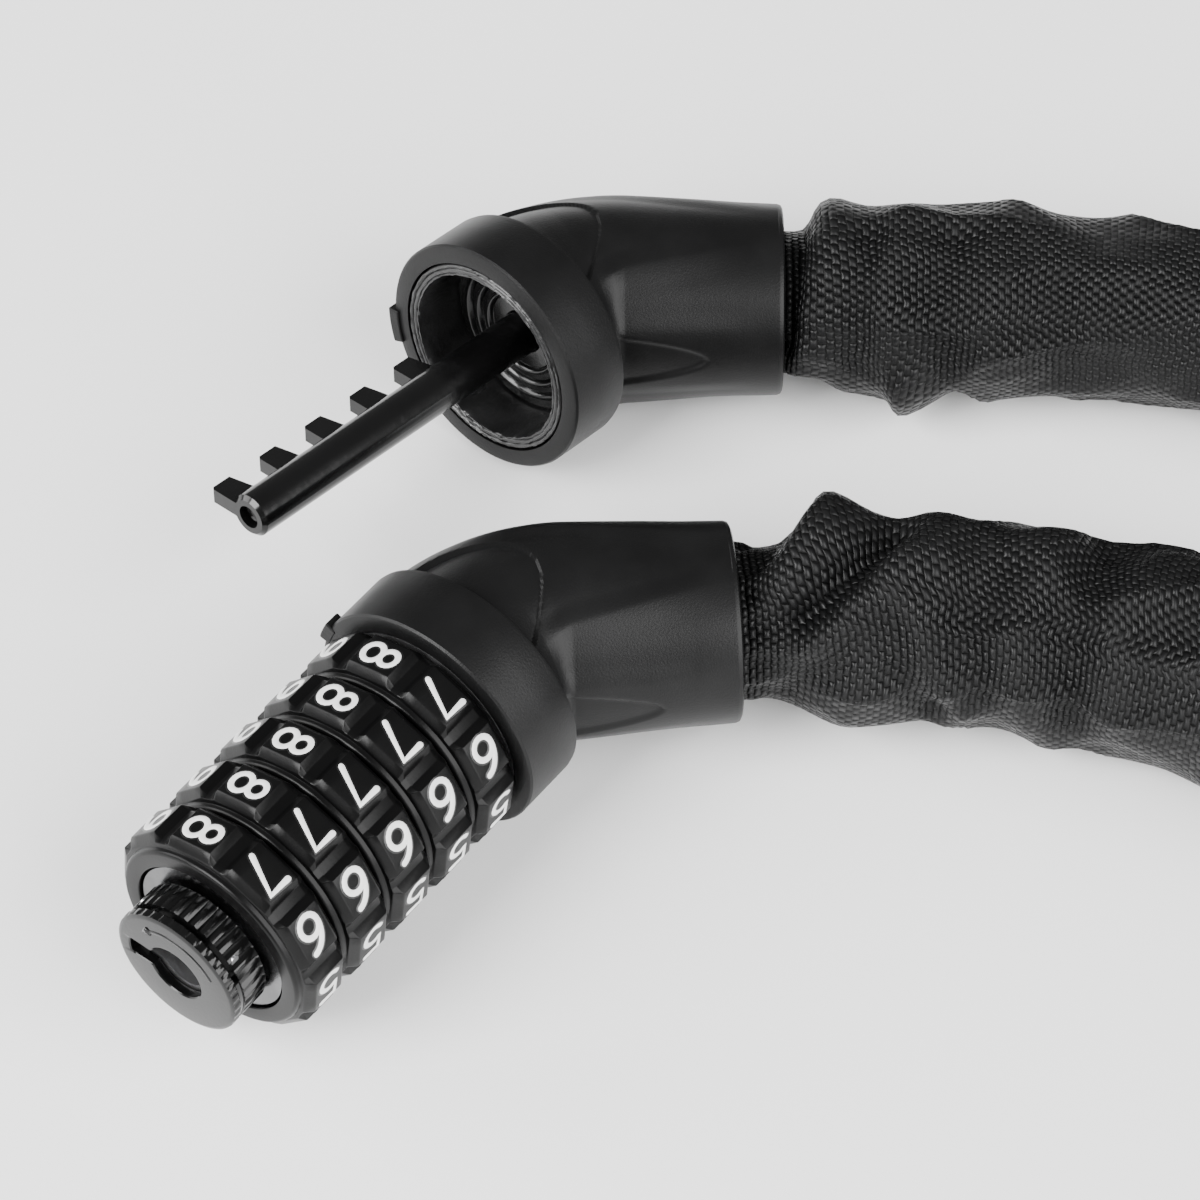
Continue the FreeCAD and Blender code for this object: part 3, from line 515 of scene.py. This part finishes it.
def make_washer():
    outside, inside = 10.85 * MM, 3.0 * MM
    back, front = -7.45 * MM, -7.1 * MM
    rings = [round_ring(back, outside), round_ring(back, inside), round_ring(front, inside)]
    for crest, half in ((5.6, 0.5), (7.4, 0.55), (9.2, 0.6)):
        for share in (-1.0, -0.7, -0.35, 0.0, 0.35, 0.7, 1.0):
            height = 0.55 * math.cos(share * math.pi / 2) if abs(share) < 1 else 0.0
            rings.append(round_ring((-7.1 + height) * MM, (crest + half * share) * MM))
    rings.append(round_ring(front, outside))
    washer = skin("ridged_washer", rings)
    carried(washer, bolt_end)
    dress(washer, "lock_body", MATERIALS["black_steel"], "bolt_washer", 50)
    return washer


cup = make_cup()
washer = make_washer()
print("cup", len(cup.data.polygons), "faces, washer", len(washer.data.polygons), "faces")

# %% [markdown]
# Each rim carries a small lug on its outer side, which lines the two units up when they close. It is a
# bent block: a cube cut into slices, whose slices are set round the rim, with its edges bevelled.

# %% Index lugs


def make_lug(name, place, middle, half_turn, front):
    nothing_selected()
    bpy.ops.mesh.primitive_cube_add(size=1, location=(0, 0, 0))
    lug = bpy.context.object
    lug.name = name
    bpy.ops.object.mode_set(mode="EDIT")
    bpy.ops.mesh.subdivide(number_cuts=7)
    bpy.ops.object.mode_set(mode="OBJECT")
    for vertex in lug.data.vertices:
        turned = math.radians(middle + 2 * half_turn * vertex.co.y)
        radius = 14.6 + 1.6 * (vertex.co.z + 0.5)
        x = front - 1.1 + 2.2 * vertex.co.x
        vertex.co = Vector((x, radius * math.cos(turned), radius * math.sin(turned))) * MM
    bevel = lug.modifiers.new("edges", "BEVEL")
    bevel.width = 0.22 * MM
    bevel.segments = 3
    bevel.limit_method = "ANGLE"
    bevel.angle_limit = math.radians(50)
    pick(lug)
    bpy.ops.object.modifier_apply(modifier="edges")
    bpy.ops.object.mode_set(mode="EDIT")
    bpy.ops.mesh.select_all(action="SELECT")
    bpy.ops.mesh.normals_make_consistent(inside=False)
    bpy.ops.object.mode_set(mode="OBJECT")
    carried(lug, place)
    dress(lug, "lock_body", MATERIALS["cover_plastic"], None, 40)
    return lug


make_lug("bolt_end_lug", bolt_end, 190, 9, 0.35)
make_lug("dial_end_lug", dial_end, 160, 6, 0.10)
print("two lugs")

# %% [markdown]
# ## The dials
# A dial is a ten-sided ring. Each side is a raised digit pad with sloping ends, and a narrow valley lies
# between two pads, so a wet thumb can grip it. One dial is modelled and copied five times.

# %% Dial body
DIGIT_STEP = 36.0
DIAL_PITCH = 7.75
PAD_AT_SEVEN = 66.1


def dial_ring(x, pad, valley, pad_half=11.6, slope=3.6):
    """A ten-sided ring: pads at one height, valleys at another, with slopes between."""
    ring = []
    for digit in range(10):
        middle = PAD_AT_SEVEN + DIGIT_STEP * digit
        for offset, height in ((-pad_half - slope, valley), (-pad_half, pad), (-pad_half / 2, pad), (0, pad),
                               (pad_half / 2, pad), (pad_half, pad), (pad_half + slope, valley)):
            turned = math.radians(middle + offset)
            radius = height / math.cos(math.radians(offset))
            ring.append(Vector((x, radius * math.cos(turned), radius * math.sin(turned))) * MM)
    return ring


def plain_dial_ring(x, radius):
    return [place.normalized() * radius * MM + Vector((x * MM, 0, 0))
            for place in (Vector((0, p.y, p.z)) for p in dial_ring(0, 14, 13))]


def make_dial():
    rings = [plain_dial_ring(-0.02, 10.45), plain_dial_ring(0.0, 10.6), plain_dial_ring(0.0, 12.3),
             plain_dial_ring(-0.12, 12.55), plain_dial_ring(-0.35, 12.7), plain_dial_ring(-0.8, 12.75),
             dial_ring(-0.85, 13.0, 12.75, 13.0, 3.0), dial_ring(-1.55, 13.86, 12.85, 12.2, 3.4),
             dial_ring(-1.75, 14.0, 12.9), dial_ring(-6.2, 14.0, 12.9), dial_ring(-6.42, 13.88, 12.85),
             dial_ring(-7.2, 12.9, 12.3, 12.6, 3.2), dial_ring(-7.45, 12.45, 12.1, 12.8, 3.0),
             plain_dial_ring(-7.5, 11.8), plain_dial_ring(-7.5, 6.8), plain_dial_ring(-6.1, 6.6),
             plain_dial_ring(-6.1, 9.0), plain_dial_ring(-2.2, 9.0), plain_dial_ring(-2.2, 10.4)]
    dial = skin("dial", rings)
    pick(dial)
    bevel = dial.modifiers.new("edges", "BEVEL")
    bevel.width = 0.09 * MM
    bevel.segments = 2
    bevel.limit_method = "ANGLE"
    bevel.angle_limit = math.radians(24)
    bpy.ops.object.modifier_apply(modifier="edges")
    smooth(dial, 22)
    return dial


dial_model = make_dial()
print("dial has", len(dial_model.data.polygons), "faces")

# %% [markdown]
# ## The digits
# The digits are round-ended strokes of white paint. Each lies on a wider dark stroke, which draws the thin
# border round it. A stroke is a curve with a round bevel: its ends taper as a half circle, and the tube
# is pressed flat on its pad.

# %% Digit strokes


def arc(centre, across, up, start, stop, count=18):
    """Points on an ellipse from one angle to another, in degrees."""
    points = []
    for step in range(count + 1):
        turned = math.radians(start + (stop - start) * step / count)
        points.append((centre[0] + across * math.cos(turned), centre[1] + up * math.sin(turned)))
    return points


def strokes(digit):
    """Each digit's strokes in millimetres, with whether the stroke closes on itself."""
    six = [(arc((0, -0.95), 1.35, 1.4, 0, 342), True), (arc((1.15, -0.95), 2.5, 3.25, 178, 96), False)]
    shapes = {
        0: [(arc((0, 0), 1.4, 2.3, 0, 342), True)],
        1: [([(-0.9, 1.5), (0.2, 2.3), (0.2, -2.3)], False)],
        2: [(arc((0, 0.95), 1.35, 1.35, 165, -35) + [(-1.4, -2.3), (1.45, -2.3)], False)],
        3: [(arc((-0.1, 1.15), 1.25, 1.15, 150, -85) + arc((-0.1, -1.15), 1.45, 1.2, 80, -150), False)],
        4: [([(0.75, -2.3), (0.75, 2.3), (-1.5, -0.9), (1.5, -0.9)], False)],
        5: [([(1.25, 2.3), (-1.0, 2.3), (-1.15, 0.25)] + arc((-0.1, -0.85), 1.45, 1.4, 125, -140), False)],
        6: six,
        7: [([(-1.45, 2.2), (1.4, 2.2), (-0.45, -2.3)], False)],
        8: [(arc((0, 1.15), 1.15, 1.1, 0, 342), True), (arc((0, -1.15), 1.35, 1.2, 0, 342), True)],
        9: [([(-x, -y) for x, y in points], closed) for points, closed in six],
    }
    return shapes[digit]


def stroke_mesh(name, digit, half_width, height):
    """A digit's strokes as one flat mesh with its back at z = 0, facing +Z."""
    data = bpy.data.curves.new(name, "CURVE")
    data.dimensions = "3D"
    data.bevel_depth = half_width * MM
    data.bevel_resolution = 2
    for points, closed in strokes(digit):
        places = [(Vector((x, y, 0)), 1.0) for x, y in points]
        if not closed:
            ends = []
            for tip, inner in ((places[0][0], places[1][0]), (places[-1][0], places[-2][0])):
                out = (tip - inner).normalized() * half_width
                taper = [(tip + out * far, math.sqrt(1 - far * far)) for far in (0.5, 0.8, 0.95)]
                ends.append(taper)
            places = ends[0][::-1] + places + ends[1]
        line = data.splines.new("POLY")
        line.points.add(len(places) - 1)
        for point, (place, share) in zip(line.points, places):
            point.co = (*(place * MM), 1)
            point.radius = share
        line.use_cyclic_u = closed
    data.use_fill_caps = True
    holder = bpy.data.objects.new(name, data)
    bpy.context.collection.objects.link(holder)
    mesh = bpy.data.meshes.new_from_object(holder)
    bpy.data.objects.remove(holder)
    mesh.transform(Matrix.Scale(height / half_width, 4, (0, 0, 1)))
    return mesh


def on_pad(digit, front, height):
    """The matrix that lays a flat digit on its pad: right is +X and up is towards the lower digits."""
    turned = math.radians(-185.9 + DIGIT_STEP * digit)
    outward = Vector((0, math.cos(turned), math.sin(turned)))
    right = Vector((1, 0, 0))
    up = outward.cross(right)
    place = outward * height * MM + right * (front - 3.95) * MM
    turn = Matrix((right, up, outward)).transposed().to_4x4()
    return Matrix.Translation(place) @ turn


def digit_ring(name, front, half_width, height, sunk_by):
    """All ten digits of one dial, joined in one mesh."""
    joined = bmesh.new()
    for digit in range(10):
        mesh = stroke_mesh(f"{name}_{digit}", digit, half_width, height)
        mesh.transform(on_pad(digit, front, 14.0 - sunk_by))
        joined.from_mesh(mesh)
        bpy.data.meshes.remove(mesh)
    data = bpy.data.meshes.new(name)
    joined.to_mesh(data)
    joined.free()
    piece = bpy.data.objects.new(name, data)
    bpy.context.collection.objects.link(piece)
    return piece


# %% Digit paint
DIGIT_PAINT = grained("digit_paint", (0.74, 0.74, 0.73), (0.84, 0.84, 0.83), 0.45, 0.1, 900, 0.1)
GROOVE = grained("digit_groove", grey(0.003), grey(0.005), 0.3, 0.1, 900, 0.05)

for number in range(1, 6):
    front = -DIAL_PITCH * (number - 1)
    body = f"dial_{number}_body"
    dial = dial_model.copy()
    dial.data = dial_model.data.copy()
    dial.name = f"dial_{number}_ring"
    bpy.context.collection.objects.link(dial)
    carried(dial, Matrix.Translation((front * MM, 0, 0)))
    dial.data.materials.clear()
    dial.data.materials.append(MATERIALS["dial_plastic"])
    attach(dial, body)
    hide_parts(f"dial_{number}")
    groove = digit_ring(f"dial_{number}_grooves", front, 0.62, 0.07, 0.0)
    groove.data.materials.append(GROOVE)
    digits = digit_ring(f"dial_{number}_digits", front, 0.45, 0.13, 0.0)
    digits.data.materials.append(DIGIT_PAINT)
    for mark in (groove, digits):
        smooth(mark, 60)
        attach(mark, body)
    print(dial.name, len(dial.data.polygons), "faces, digits", len(digits.data.polygons))
bpy.data.objects.remove(dial_model)

# %% [markdown]
# ## The reset knob
# The knob is glossy black, with fine ribs round its barrel, a slot behind its flange and the keyhole in
# its face. Its ribs are rings whose radius rises and falls as a wave.

# %% Knob
KNOB_COUNT = 216
RIBS = 36


def knob_ring(x, radius, rib=0.0, slot=0.0):
    """A ring of the knob; rib is the ribs' depth and slot the depth of the part-way slot."""
    ring = []
    for step in range(KNOB_COUNT):
        angle = 2 * math.pi * step / KNOB_COUNT
        r = radius - rib * (0.5 - 0.5 * math.cos(RIBS * angle)) ** 2
        degrees = math.degrees(angle)
        r -= slot * soft_step(degrees, 20, 24) * (1 - soft_step(degrees, 150, 154))
        ring.append(Vector((x, r * math.cos(angle), r * math.sin(angle))) * MM)
    return ring


def keyhole_ring(x, grow=0.0):
    """The keyhole: a round hole with a slot for the teeth on the -Y side."""
    ring = []
    for step in range(KNOB_COUNT):
        angle = 2 * math.pi * step / KNOB_COUNT
        r = 3.65 + grow
        side = abs(math.sin(angle))
        if math.cos(angle) < 0 and side * 6.7 < 1.25 + grow:
            r = 6.7 + grow
        elif math.cos(angle) < 0 and side > 0 and (1.25 + grow) / side > r:
            r = min(6.7 + grow, (1.25 + grow) / side)
        ring.append(Vector((x, r * math.cos(angle), r * math.sin(angle))) * MM)
    return ring


def make_knob():
    rings = [keyhole_ring(4.9), keyhole_ring(5.75), keyhole_ring(5.9, 0.15),
             knob_ring(5.9, 7.9), knob_ring(5.86, 8.2), knob_ring(5.7, 8.45),
             knob_ring(5.45, 8.55, 0.25), knob_ring(4.75, 8.55, 0.25), knob_ring(4.6, 8.4),
             knob_ring(4.55, 8.35, 0.0, 1.0), knob_ring(3.95, 8.3, 0.0, 1.1), knob_ring(3.9, 8.45),
             knob_ring(3.8, 8.5, 0.42), knob_ring(0.5, 8.5, 0.42), knob_ring(0.2, 8.3),
             knob_ring(0.2, 5.1), knob_ring(4.7, 5.1), keyhole_ring(4.72)]
    knob = skin("knob_cap", rings)
    smooth(knob, 35)
    knob.data.materials.append(MATERIALS["knob_plastic"])
    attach(knob, "knob_body")
    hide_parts("reset_knob")
    return knob


knob = make_knob()
print("knob has", len(knob.data.polygons), "faces")

# %% [markdown]
# A raised arc arrow on the face shows which way the knob turns. It is a curve with a flat round bevel,
# whose radius grows into an arrowhead at its end.

# %% Turning arrow


def make_arrow():
    data = bpy.data.curves.new("turn_arrow", "CURVE")
    data.dimensions = "3D"
    data.bevel_depth = 0.26 * MM
    data.bevel_resolution = 2
    data.use_fill_caps = True
    line = data.splines.new("POLY")
    shaft = [(30 + 4 * step, 1.0) for step in range(24)]
    head = [(124, 2.6), (128, 2.0), (132, 1.1), (136, 0.15)]
    line.points.add(len(shaft + head) - 1)
    for point, (angle, share) in zip(line.points, shaft + head):
        turned = math.radians(angle)
        point.co = (5.9 * MM, 6.2 * MM * math.cos(turned), 6.2 * MM * math.sin(turned), 1)
        point.radius = share
    holder = bpy.data.objects.new("turn_arrow", data)
    bpy.context.collection.objects.link(holder)
    mesh = bpy.data.meshes.new_from_object(holder)
    bpy.data.objects.remove(holder)
    arrow = bpy.data.objects.new("turn_arrow", mesh)
    bpy.context.collection.objects.link(arrow)
    mesh.transform(Matrix.Translation((5.9 * MM, 0, 0)) @ Matrix.Scale(0.45, 4, (1, 0, 0))
                   @ Matrix.Translation((-5.9 * MM, 0, 0)))
    mesh.materials.append(MATERIALS["knob_plastic"])
    smooth(arrow, 50)
    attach(arrow, "knob_body")
    return arrow


arrow = make_arrow()
print("arrow has", len(arrow.data.polygons), "faces")

# %% [markdown]
# ## The sleeve
# The sleeve is a wide woven tube with slack round its chain. Each end is gathered into a tail, so it
# starts narrow and puckered, swells, and then lies in soft folds. The folds are seeded noise along the
# tube, pressed flat where the cloth meets the table.

# %% Sleeve shape
AROUND = 132
STEP = 1.1 * MM

# Each fold is a crest or a valley: height in mm, half-width in mm, and points of (mm from the tail,
# degrees round from the side that faces up and forward).
DIAL_FOLDS = [
    (3.0, 3.3, [(13.5, 115), (13.0, 78), (10.0, 50), (6.5, 22)]),
    (-2.8, 2.2, [(19.0, 56), (16.0, 36), (12.0, 20), (8.0, 2)]),
    (1.8, 3.4, [(10.0, -16), (14.0, 8), (20.0, 26)]),
    (-1.6, 2.2, [(4.5, 95), (4.5, 70), (2.0, 45)]),
    (-1.7, 2.4, [(13.5, -14), (9.0, -40), (6.0, -70)]),
    (1.6, 3.4, [(24.0, 70), (19.0, 25), (21.0, -20), (27.0, -60)]),
    (-2.6, 2.6, [(18.0, -8), (19.5, -32), (24.0, -62)]),
    (1.4, 4.0, [(36.0, 60), (31.0, 15), (33.0, -30), (40.0, -80)]),
    (-1.6, 3.0, [(31.0, 30), (27.0, 0), (29.0, -40)]),
    (1.3, 4.2, [(50.0, 70), (45.0, 20), (48.0, -40)]),
    (-1.5, 3.2, [(43.0, 60), (39.0, 10), (42.0, -50)]),
]
BOLT_FOLDS = [
    (1.9, 3.0, [(7.0, 110), (6.5, 60), (5.5, 20), (4.0, -25), (3.5, -60)]),
    (-1.9, 1.9, [(1.8, 90), (1.5, 40), (1.0, 0), (0.5, -40)]),
    (1.0, 3.0, [(16.0, 60), (12.5, 10), (14.0, -40), (17.5, -95)]),
    (-1.0, 2.2, [(11.0, 40), (9.5, 0), (9.0, -50)]),
    (1.6, 2.4, [(17.0, -60), (18.0, -95)]),
    (-1.1, 2.4, [(21.5, 40), (19.0, 0), (22.0, -60), (24.0, -100)]),
    (0.8, 3.4, [(29.0, 80), (26.0, 20), (28.0, -50)]),
    (-0.7, 3.0, [(38.0, 60), (35.0, 0), (37.0, -60)]),
]
FACING = math.radians(51)
IN_TAIL = 3.6       # millimetres of the sleeve inside each tail
CHAIN_ROOM = 8.6    # the cloth never comes closer than this to the chain's middle


def fold_share(away, turned, path, width):
    """How near a point is to a fold's line: 1 on it, falling to 0 a few half-widths off."""
    best = 99.0
    for (s0, a0), (s1, a1) in zip(path, path[1:]):
        dx, dy = s1 - s0, (a1 - a0) * 0.2
        px, py = away - s0, (turned - a0) * 0.2
        share = min(1.0, max(0.0, (px * dx + py * dy) / (dx * dx + dy * dy)))
        best = min(best, math.hypot(px - dx * share, py - dy * share))
    return math.exp(-((best / width) ** 2))


def folds(away, turned, table):
    """Sum of the listed folds near one tail."""
    if away > 62:
        return 0.0
    total = 0.0
    for height, width, path in table:
        total += height * fold_share(away, turned, path, width)
    return total


def slack(along, angle, away):
    """Seeded, uneven slack of the cloth, in millimetres, plus fine pleats where it enters the tail."""
    across = Vector((math.cos(angle), math.sin(angle), 0))
    broad = noise.noise(Vector((along / 30, across.x * 0.9, across.y * 0.9)))
    ridge = 1 - abs(noise.noise(Vector((along / 17 + 40, across.x * 1.5, across.y * 1.5)))) * 2.6
    fine = noise.noise(Vector((along / 6 + 90, across.x * 2.6, across.y * 2.6)))
    pleats = math.sin(13 * angle + 1.5 * math.sin(along / 4)) * math.exp(-((away - 1) / 5) ** 2)
    return soft_step(away, 2, 20) * (1.0 * broad + 0.9 * max(0.0, ridge) ** 2 + 0.4 * fine) + 0.45 * pleats


def sleeve_shape(along, angle):
    """Radius of the cloth, and how far a fold leans towards its tail, both in millimetres."""
    total = sleeve_length / MM
    if along < total / 2:
        away = along - IN_TAIL
        turned = (math.degrees(angle - FACING) + 180) % 360 - 180
        base = 9.2 + 2.8 * soft_step(away, 3, 14) + 0.4 * soft_step(away, 25, 50)
        base -= 0.6 * soft_step(away, 70, 200)
        crease = folds(away, turned, DIAL_FOLDS)
    else:
        away = total - along - IN_TAIL
        turned = (math.degrees(math.pi - FACING - angle) + 180) % 360 - 180
        base = 8.9 + 2.4 * soft_step(away, 3, 9) - 0.5 * soft_step(away, 26, 45)
        base += 1.0 * soft_step(away, 70, 200)
        crease = folds(away, turned, BOLT_FOLDS)
    ease = soft_step(away, -1.5, 2.0)
    lean = max(0.0, crease) * ease * (1 - soft_step(away, 16, 30))
    least = CHAIN_ROOM + side_shift(total - along)
    return max(least, base + (crease + slack(along, angle, away)) * ease), lean


def side_shift(near_bolt):
    """How far the cloth's middle lies to one side of the chain near the bolt end, in millimetres."""
    return 1.8 * soft_step(near_bolt, 22, 52) * (1 - soft_step(near_bolt, 90, 150))


def point_at(distance):
    """The centre line's point and direction at a distance from its start."""
    low = min(bisect.bisect_right(reached, distance) - 1, len(reached) - 2)
    high = low + 1
    share = (distance - reached[low]) / (reached[high] - reached[low])
    ahead = centre_line[min(high + 2, len(centre_line) - 1)] - centre_line[max(low - 2, 0)]
    return centre_line[low].lerp(centre_line[high], share), ahead.normalized()


def make_sleeve():
    count = int(sleeve_length / STEP)
    places = []
    for step in range(count + 1):
        distance = sleeve_length * step / count
        centre, ahead = point_at(distance)
        side = ahead.cross(Vector((0, 0, 1))).normalized()
        upward = side.cross(ahead).normalized()
        centre = centre + side * side_shift((sleeve_length - distance) / MM) * MM
        for turn_step in range(AROUND):
            angle = 2 * math.pi * turn_step / AROUND
            radius, lean = sleeve_shape(distance / MM, angle)
            place = centre + (side * math.cos(angle) + upward * math.sin(angle)) * radius * MM
            place += ahead * lean * MM * (-0.55 if distance < sleeve_length / 2 else 0.7)
            place.z = max(place.z, TABLE)
            places.append(place)
    from_start = [0.0] * len(places)
    for index in range(AROUND, len(places)):
        from_start[index] = from_start[index - AROUND] + (places[index] - places[index - AROUND]).length
    row_end = [sum(from_start[-AROUND:]) / AROUND] * AROUND
    from_end = [0.0] * len(places)
    for index in range(len(places) - AROUND - 1, -1, -1):
        from_end[index] = from_end[index + AROUND] + (places[index] - places[index + AROUND]).length
    threads_along = []
    for index in range(len(places)):
        middle_share = soft_step(index / len(places), 0.35, 0.65)
        threads_along.append(from_start[index] * (1 - middle_share)
                             + (row_end[index % AROUND] - from_end[index]) * middle_share)
    faces = []
    for step in range(count):
        for turn_step in range(AROUND):
            after = (turn_step + 1) % AROUND
            faces.append((step * AROUND + turn_step, step * AROUND + after,
                          (step + 1) * AROUND + after, (step + 1) * AROUND + turn_step))
    faces.append(tuple(range(AROUND))[::-1])
    faces.append(tuple(count * AROUND + turn_step for turn_step in range(AROUND)))
    mesh = bpy.data.meshes.new("sleeve_cloth")
    mesh.from_pydata(places, [], faces)
    threads = mesh.uv_layers.new(name="threads")
    for face in mesh.polygons:
        for corner in face.loop_indices:
            vertex = mesh.loops[corner].vertex_index
            row, column = divmod(vertex, AROUND)
            if column == 0 and any(mesh.loops[other].vertex_index % AROUND == AROUND - 1
                                   for other in face.loop_indices):
                column = AROUND
            even = row * row_end[0] / count
            lengthwise = 0.3 * threads_along[vertex] + 0.7 * even
            threads.data[corner].uv = (column / AROUND * 0.7, lengthwise / 0.1)
    piece = bpy.data.objects.new("sleeve_cloth", mesh)
    bpy.context.collection.objects.link(piece)
    pick(piece)
    bpy.ops.object.mode_set(mode="EDIT")
    bpy.ops.mesh.select_all(action="SELECT")
    bpy.ops.mesh.normals_make_consistent(inside=False)
    bpy.ops.object.mode_set(mode="OBJECT")
    bpy.ops.object.shade_smooth()
    return piece


sleeve = make_sleeve()
print("sleeve has", len(sleeve.data.polygons), "faces")

# %% [markdown]
# The cloth is a coarse weave: short floats of black yarn, each row shifted by half a float. Two sine
# waves on the cloth's own threads round every float. Its colour holds painted shade in the gaps
# between floats and a faint painted highlight on each crown.

# %% Weave
FLOAT_LENGTH = 0.0125
FLOAT_WIDTH = 0.0086


def weave_group():
    """Staggered, rounded floats of yarn: a height from 0 in the gaps to 1 on a float's crown."""
    group = bpy.data.node_groups.new("weave", "ShaderNodeTree")
    group.interface.new_socket("Height", in_out="OUTPUT", socket_type="NodeSocketFloat")
    group.interface.new_socket("Yarn", in_out="OUTPUT", socket_type="NodeSocketFloat")
    leave = group.nodes.new("NodeGroupOutput")

    def maths(operation, first, second=None):
        node = group.nodes.new("ShaderNodeMath")
        node.operation = operation
        for socket, value in zip(node.inputs, (first, second)):
            if isinstance(value, bpy.types.NodeSocket):
                link(group, value, socket)
            elif value is not None:
                socket.default_value = value
        return node.outputs[0]

    threads = group.nodes.new("ShaderNodeUVMap")
    threads.uv_map = "threads"
    wobble = group.nodes.new("ShaderNodeTexNoise")
    wobble.inputs["Scale"].default_value = 45
    link(group, threads.outputs["UV"], wobble.inputs["Vector"])
    shifted = group.nodes.new("ShaderNodeVectorMath")
    shifted.operation = "MULTIPLY_ADD"
    shifted.inputs[1].default_value = (0.004, 0.004, 0)
    link(group, wobble.outputs["Color"], shifted.inputs[0])
    link(group, threads.outputs["UV"], shifted.inputs[2])
    parts = group.nodes.new("ShaderNodeSeparateXYZ")
    link(group, shifted.outputs["Vector"], parts.inputs[0])
    row = maths("DIVIDE", parts.outputs["Y"], FLOAT_WIDTH)
    stagger = maths("MULTIPLY", maths("MODULO", maths("FLOOR", row), 2.0), 0.5)
    place = maths("ADD", maths("DIVIDE", parts.outputs["X"], FLOAT_LENGTH), stagger)
    long_way = maths("SINE", maths("MULTIPLY", maths("FRACT", place), math.pi))
    short_way = maths("SINE", maths("MULTIPLY", maths("FRACT", row), math.pi))
    crown = maths("POWER", maths("MULTIPLY", long_way, short_way), 0.4)
    which = group.nodes.new("ShaderNodeCombineXYZ")
    link(group, maths("FLOOR", place), which.inputs["X"])
    link(group, maths("FLOOR", row), which.inputs["Y"])
    random = group.nodes.new("ShaderNodeTexWhiteNoise")
    link(group, which.outputs[0], random.inputs["Vector"])
    link(group, crown, leave.inputs["Height"])
    link(group, random.outputs["Value"], leave.inputs["Yarn"])
    return group


def weave_material():
    material = bpy.data.materials.new("woven_polyester")
    material.use_nodes = True
    tree = material.node_tree
    shader = tree.nodes["Principled BSDF"]
    weave = tree.nodes.new("ShaderNodeGroup")
    weave.node_tree = weave_group()
    # Painted shade and highlight: the yarn is one black, and this ramp darkens the gaps between floats and
    # lightens each float's crown a little.
    tones = tree.nodes.new("ShaderNodeValToRGB")
    tones.color_ramp.elements[0].position = 0.25
    tones.color_ramp.elements[1].position = 0.95
    tones.color_ramp.elements[0].color = (0.0012, 0.0012, 0.0012, 1)
    tones.color_ramp.elements[1].color = (0.0050, 0.0050, 0.0053, 1)
    link(tree, weave.outputs["Height"], tones.inputs["Fac"])
    link(tree, tones.outputs["Color"], shader.inputs["Base Color"])
    shine = tree.nodes.new("ShaderNodeMapRange")
    shine.inputs["To Min"].default_value = 0.36
    shine.inputs["To Max"].default_value = 0.56
    link(tree, weave.outputs["Yarn"], shine.inputs["Value"])
    link(tree, shine.outputs["Result"], shader.inputs["Roughness"])
    shader.inputs["Specular IOR Level"].default_value = 0.22
    bump = tree.nodes.new("ShaderNodeBump")
    bump.inputs["Strength"].default_value = 1.0
    bump.inputs["Distance"].default_value = 0.0005
    link(tree, weave.outputs["Height"], bump.inputs["Height"])
    link(tree, bump.outputs["Normal"], shader.inputs["Normal"])
    return material


sleeve.data.materials.append(weave_material())
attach(sleeve, "lock_body")
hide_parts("sleeve")

# %% [markdown]
# ## Floor and light
# The lock lies on a plain white table between large soft boxes. None of them stands where the tops
# would mirror it, so the tops stay black while the white table lights the flanks and front faces.

# %% Floor
nothing_selected()
bpy.ops.mesh.primitive_plane_add(size=6, location=(0, 0, TABLE - 0.02 * MM))
floor = bpy.context.object
floor.name = "floor"
white = bpy.data.materials.new("white_table")
white.use_nodes = True
white.node_tree.nodes["Principled BSDF"].inputs["Base Color"].default_value = (0.93, 0.93, 0.93, 1)
white.node_tree.nodes["Principled BSDF"].inputs["Roughness"].default_value = 0.9
floor.data.materials.append(white)

# %% Light


def soft_light(name, place, target, size, power):
    data = bpy.data.lights.new(name, "AREA")
    data.shape = "SQUARE"
    data.size = size
    data.energy = power
    lamp = bpy.data.objects.new(name, data)
    lamp.location = place
    lamp.rotation_euler = (Vector(target) - Vector(place)).to_track_quat("-Z", "Y").to_euler()
    bpy.context.collection.objects.link(lamp)
    return lamp


middle = Vector((-0.07, 0.0, 0.0))
soft_light("right_box", (-0.05, 1.10, 0.60), middle, 1.3, 42)
soft_light("left_box", (0.35, -0.95, 0.45), middle, 0.6, 8)
soft_light("front_box", (1.10, -0.45, 1.00), middle, 1.0, 60)
world = bpy.data.worlds.new("studio")
bpy.context.scene.world = world
world.use_nodes = True
world.node_tree.nodes["Background"].inputs["Color"].default_value = (1, 1, 1, 1)
world.node_tree.nodes["Background"].inputs["Strength"].default_value = 0.3
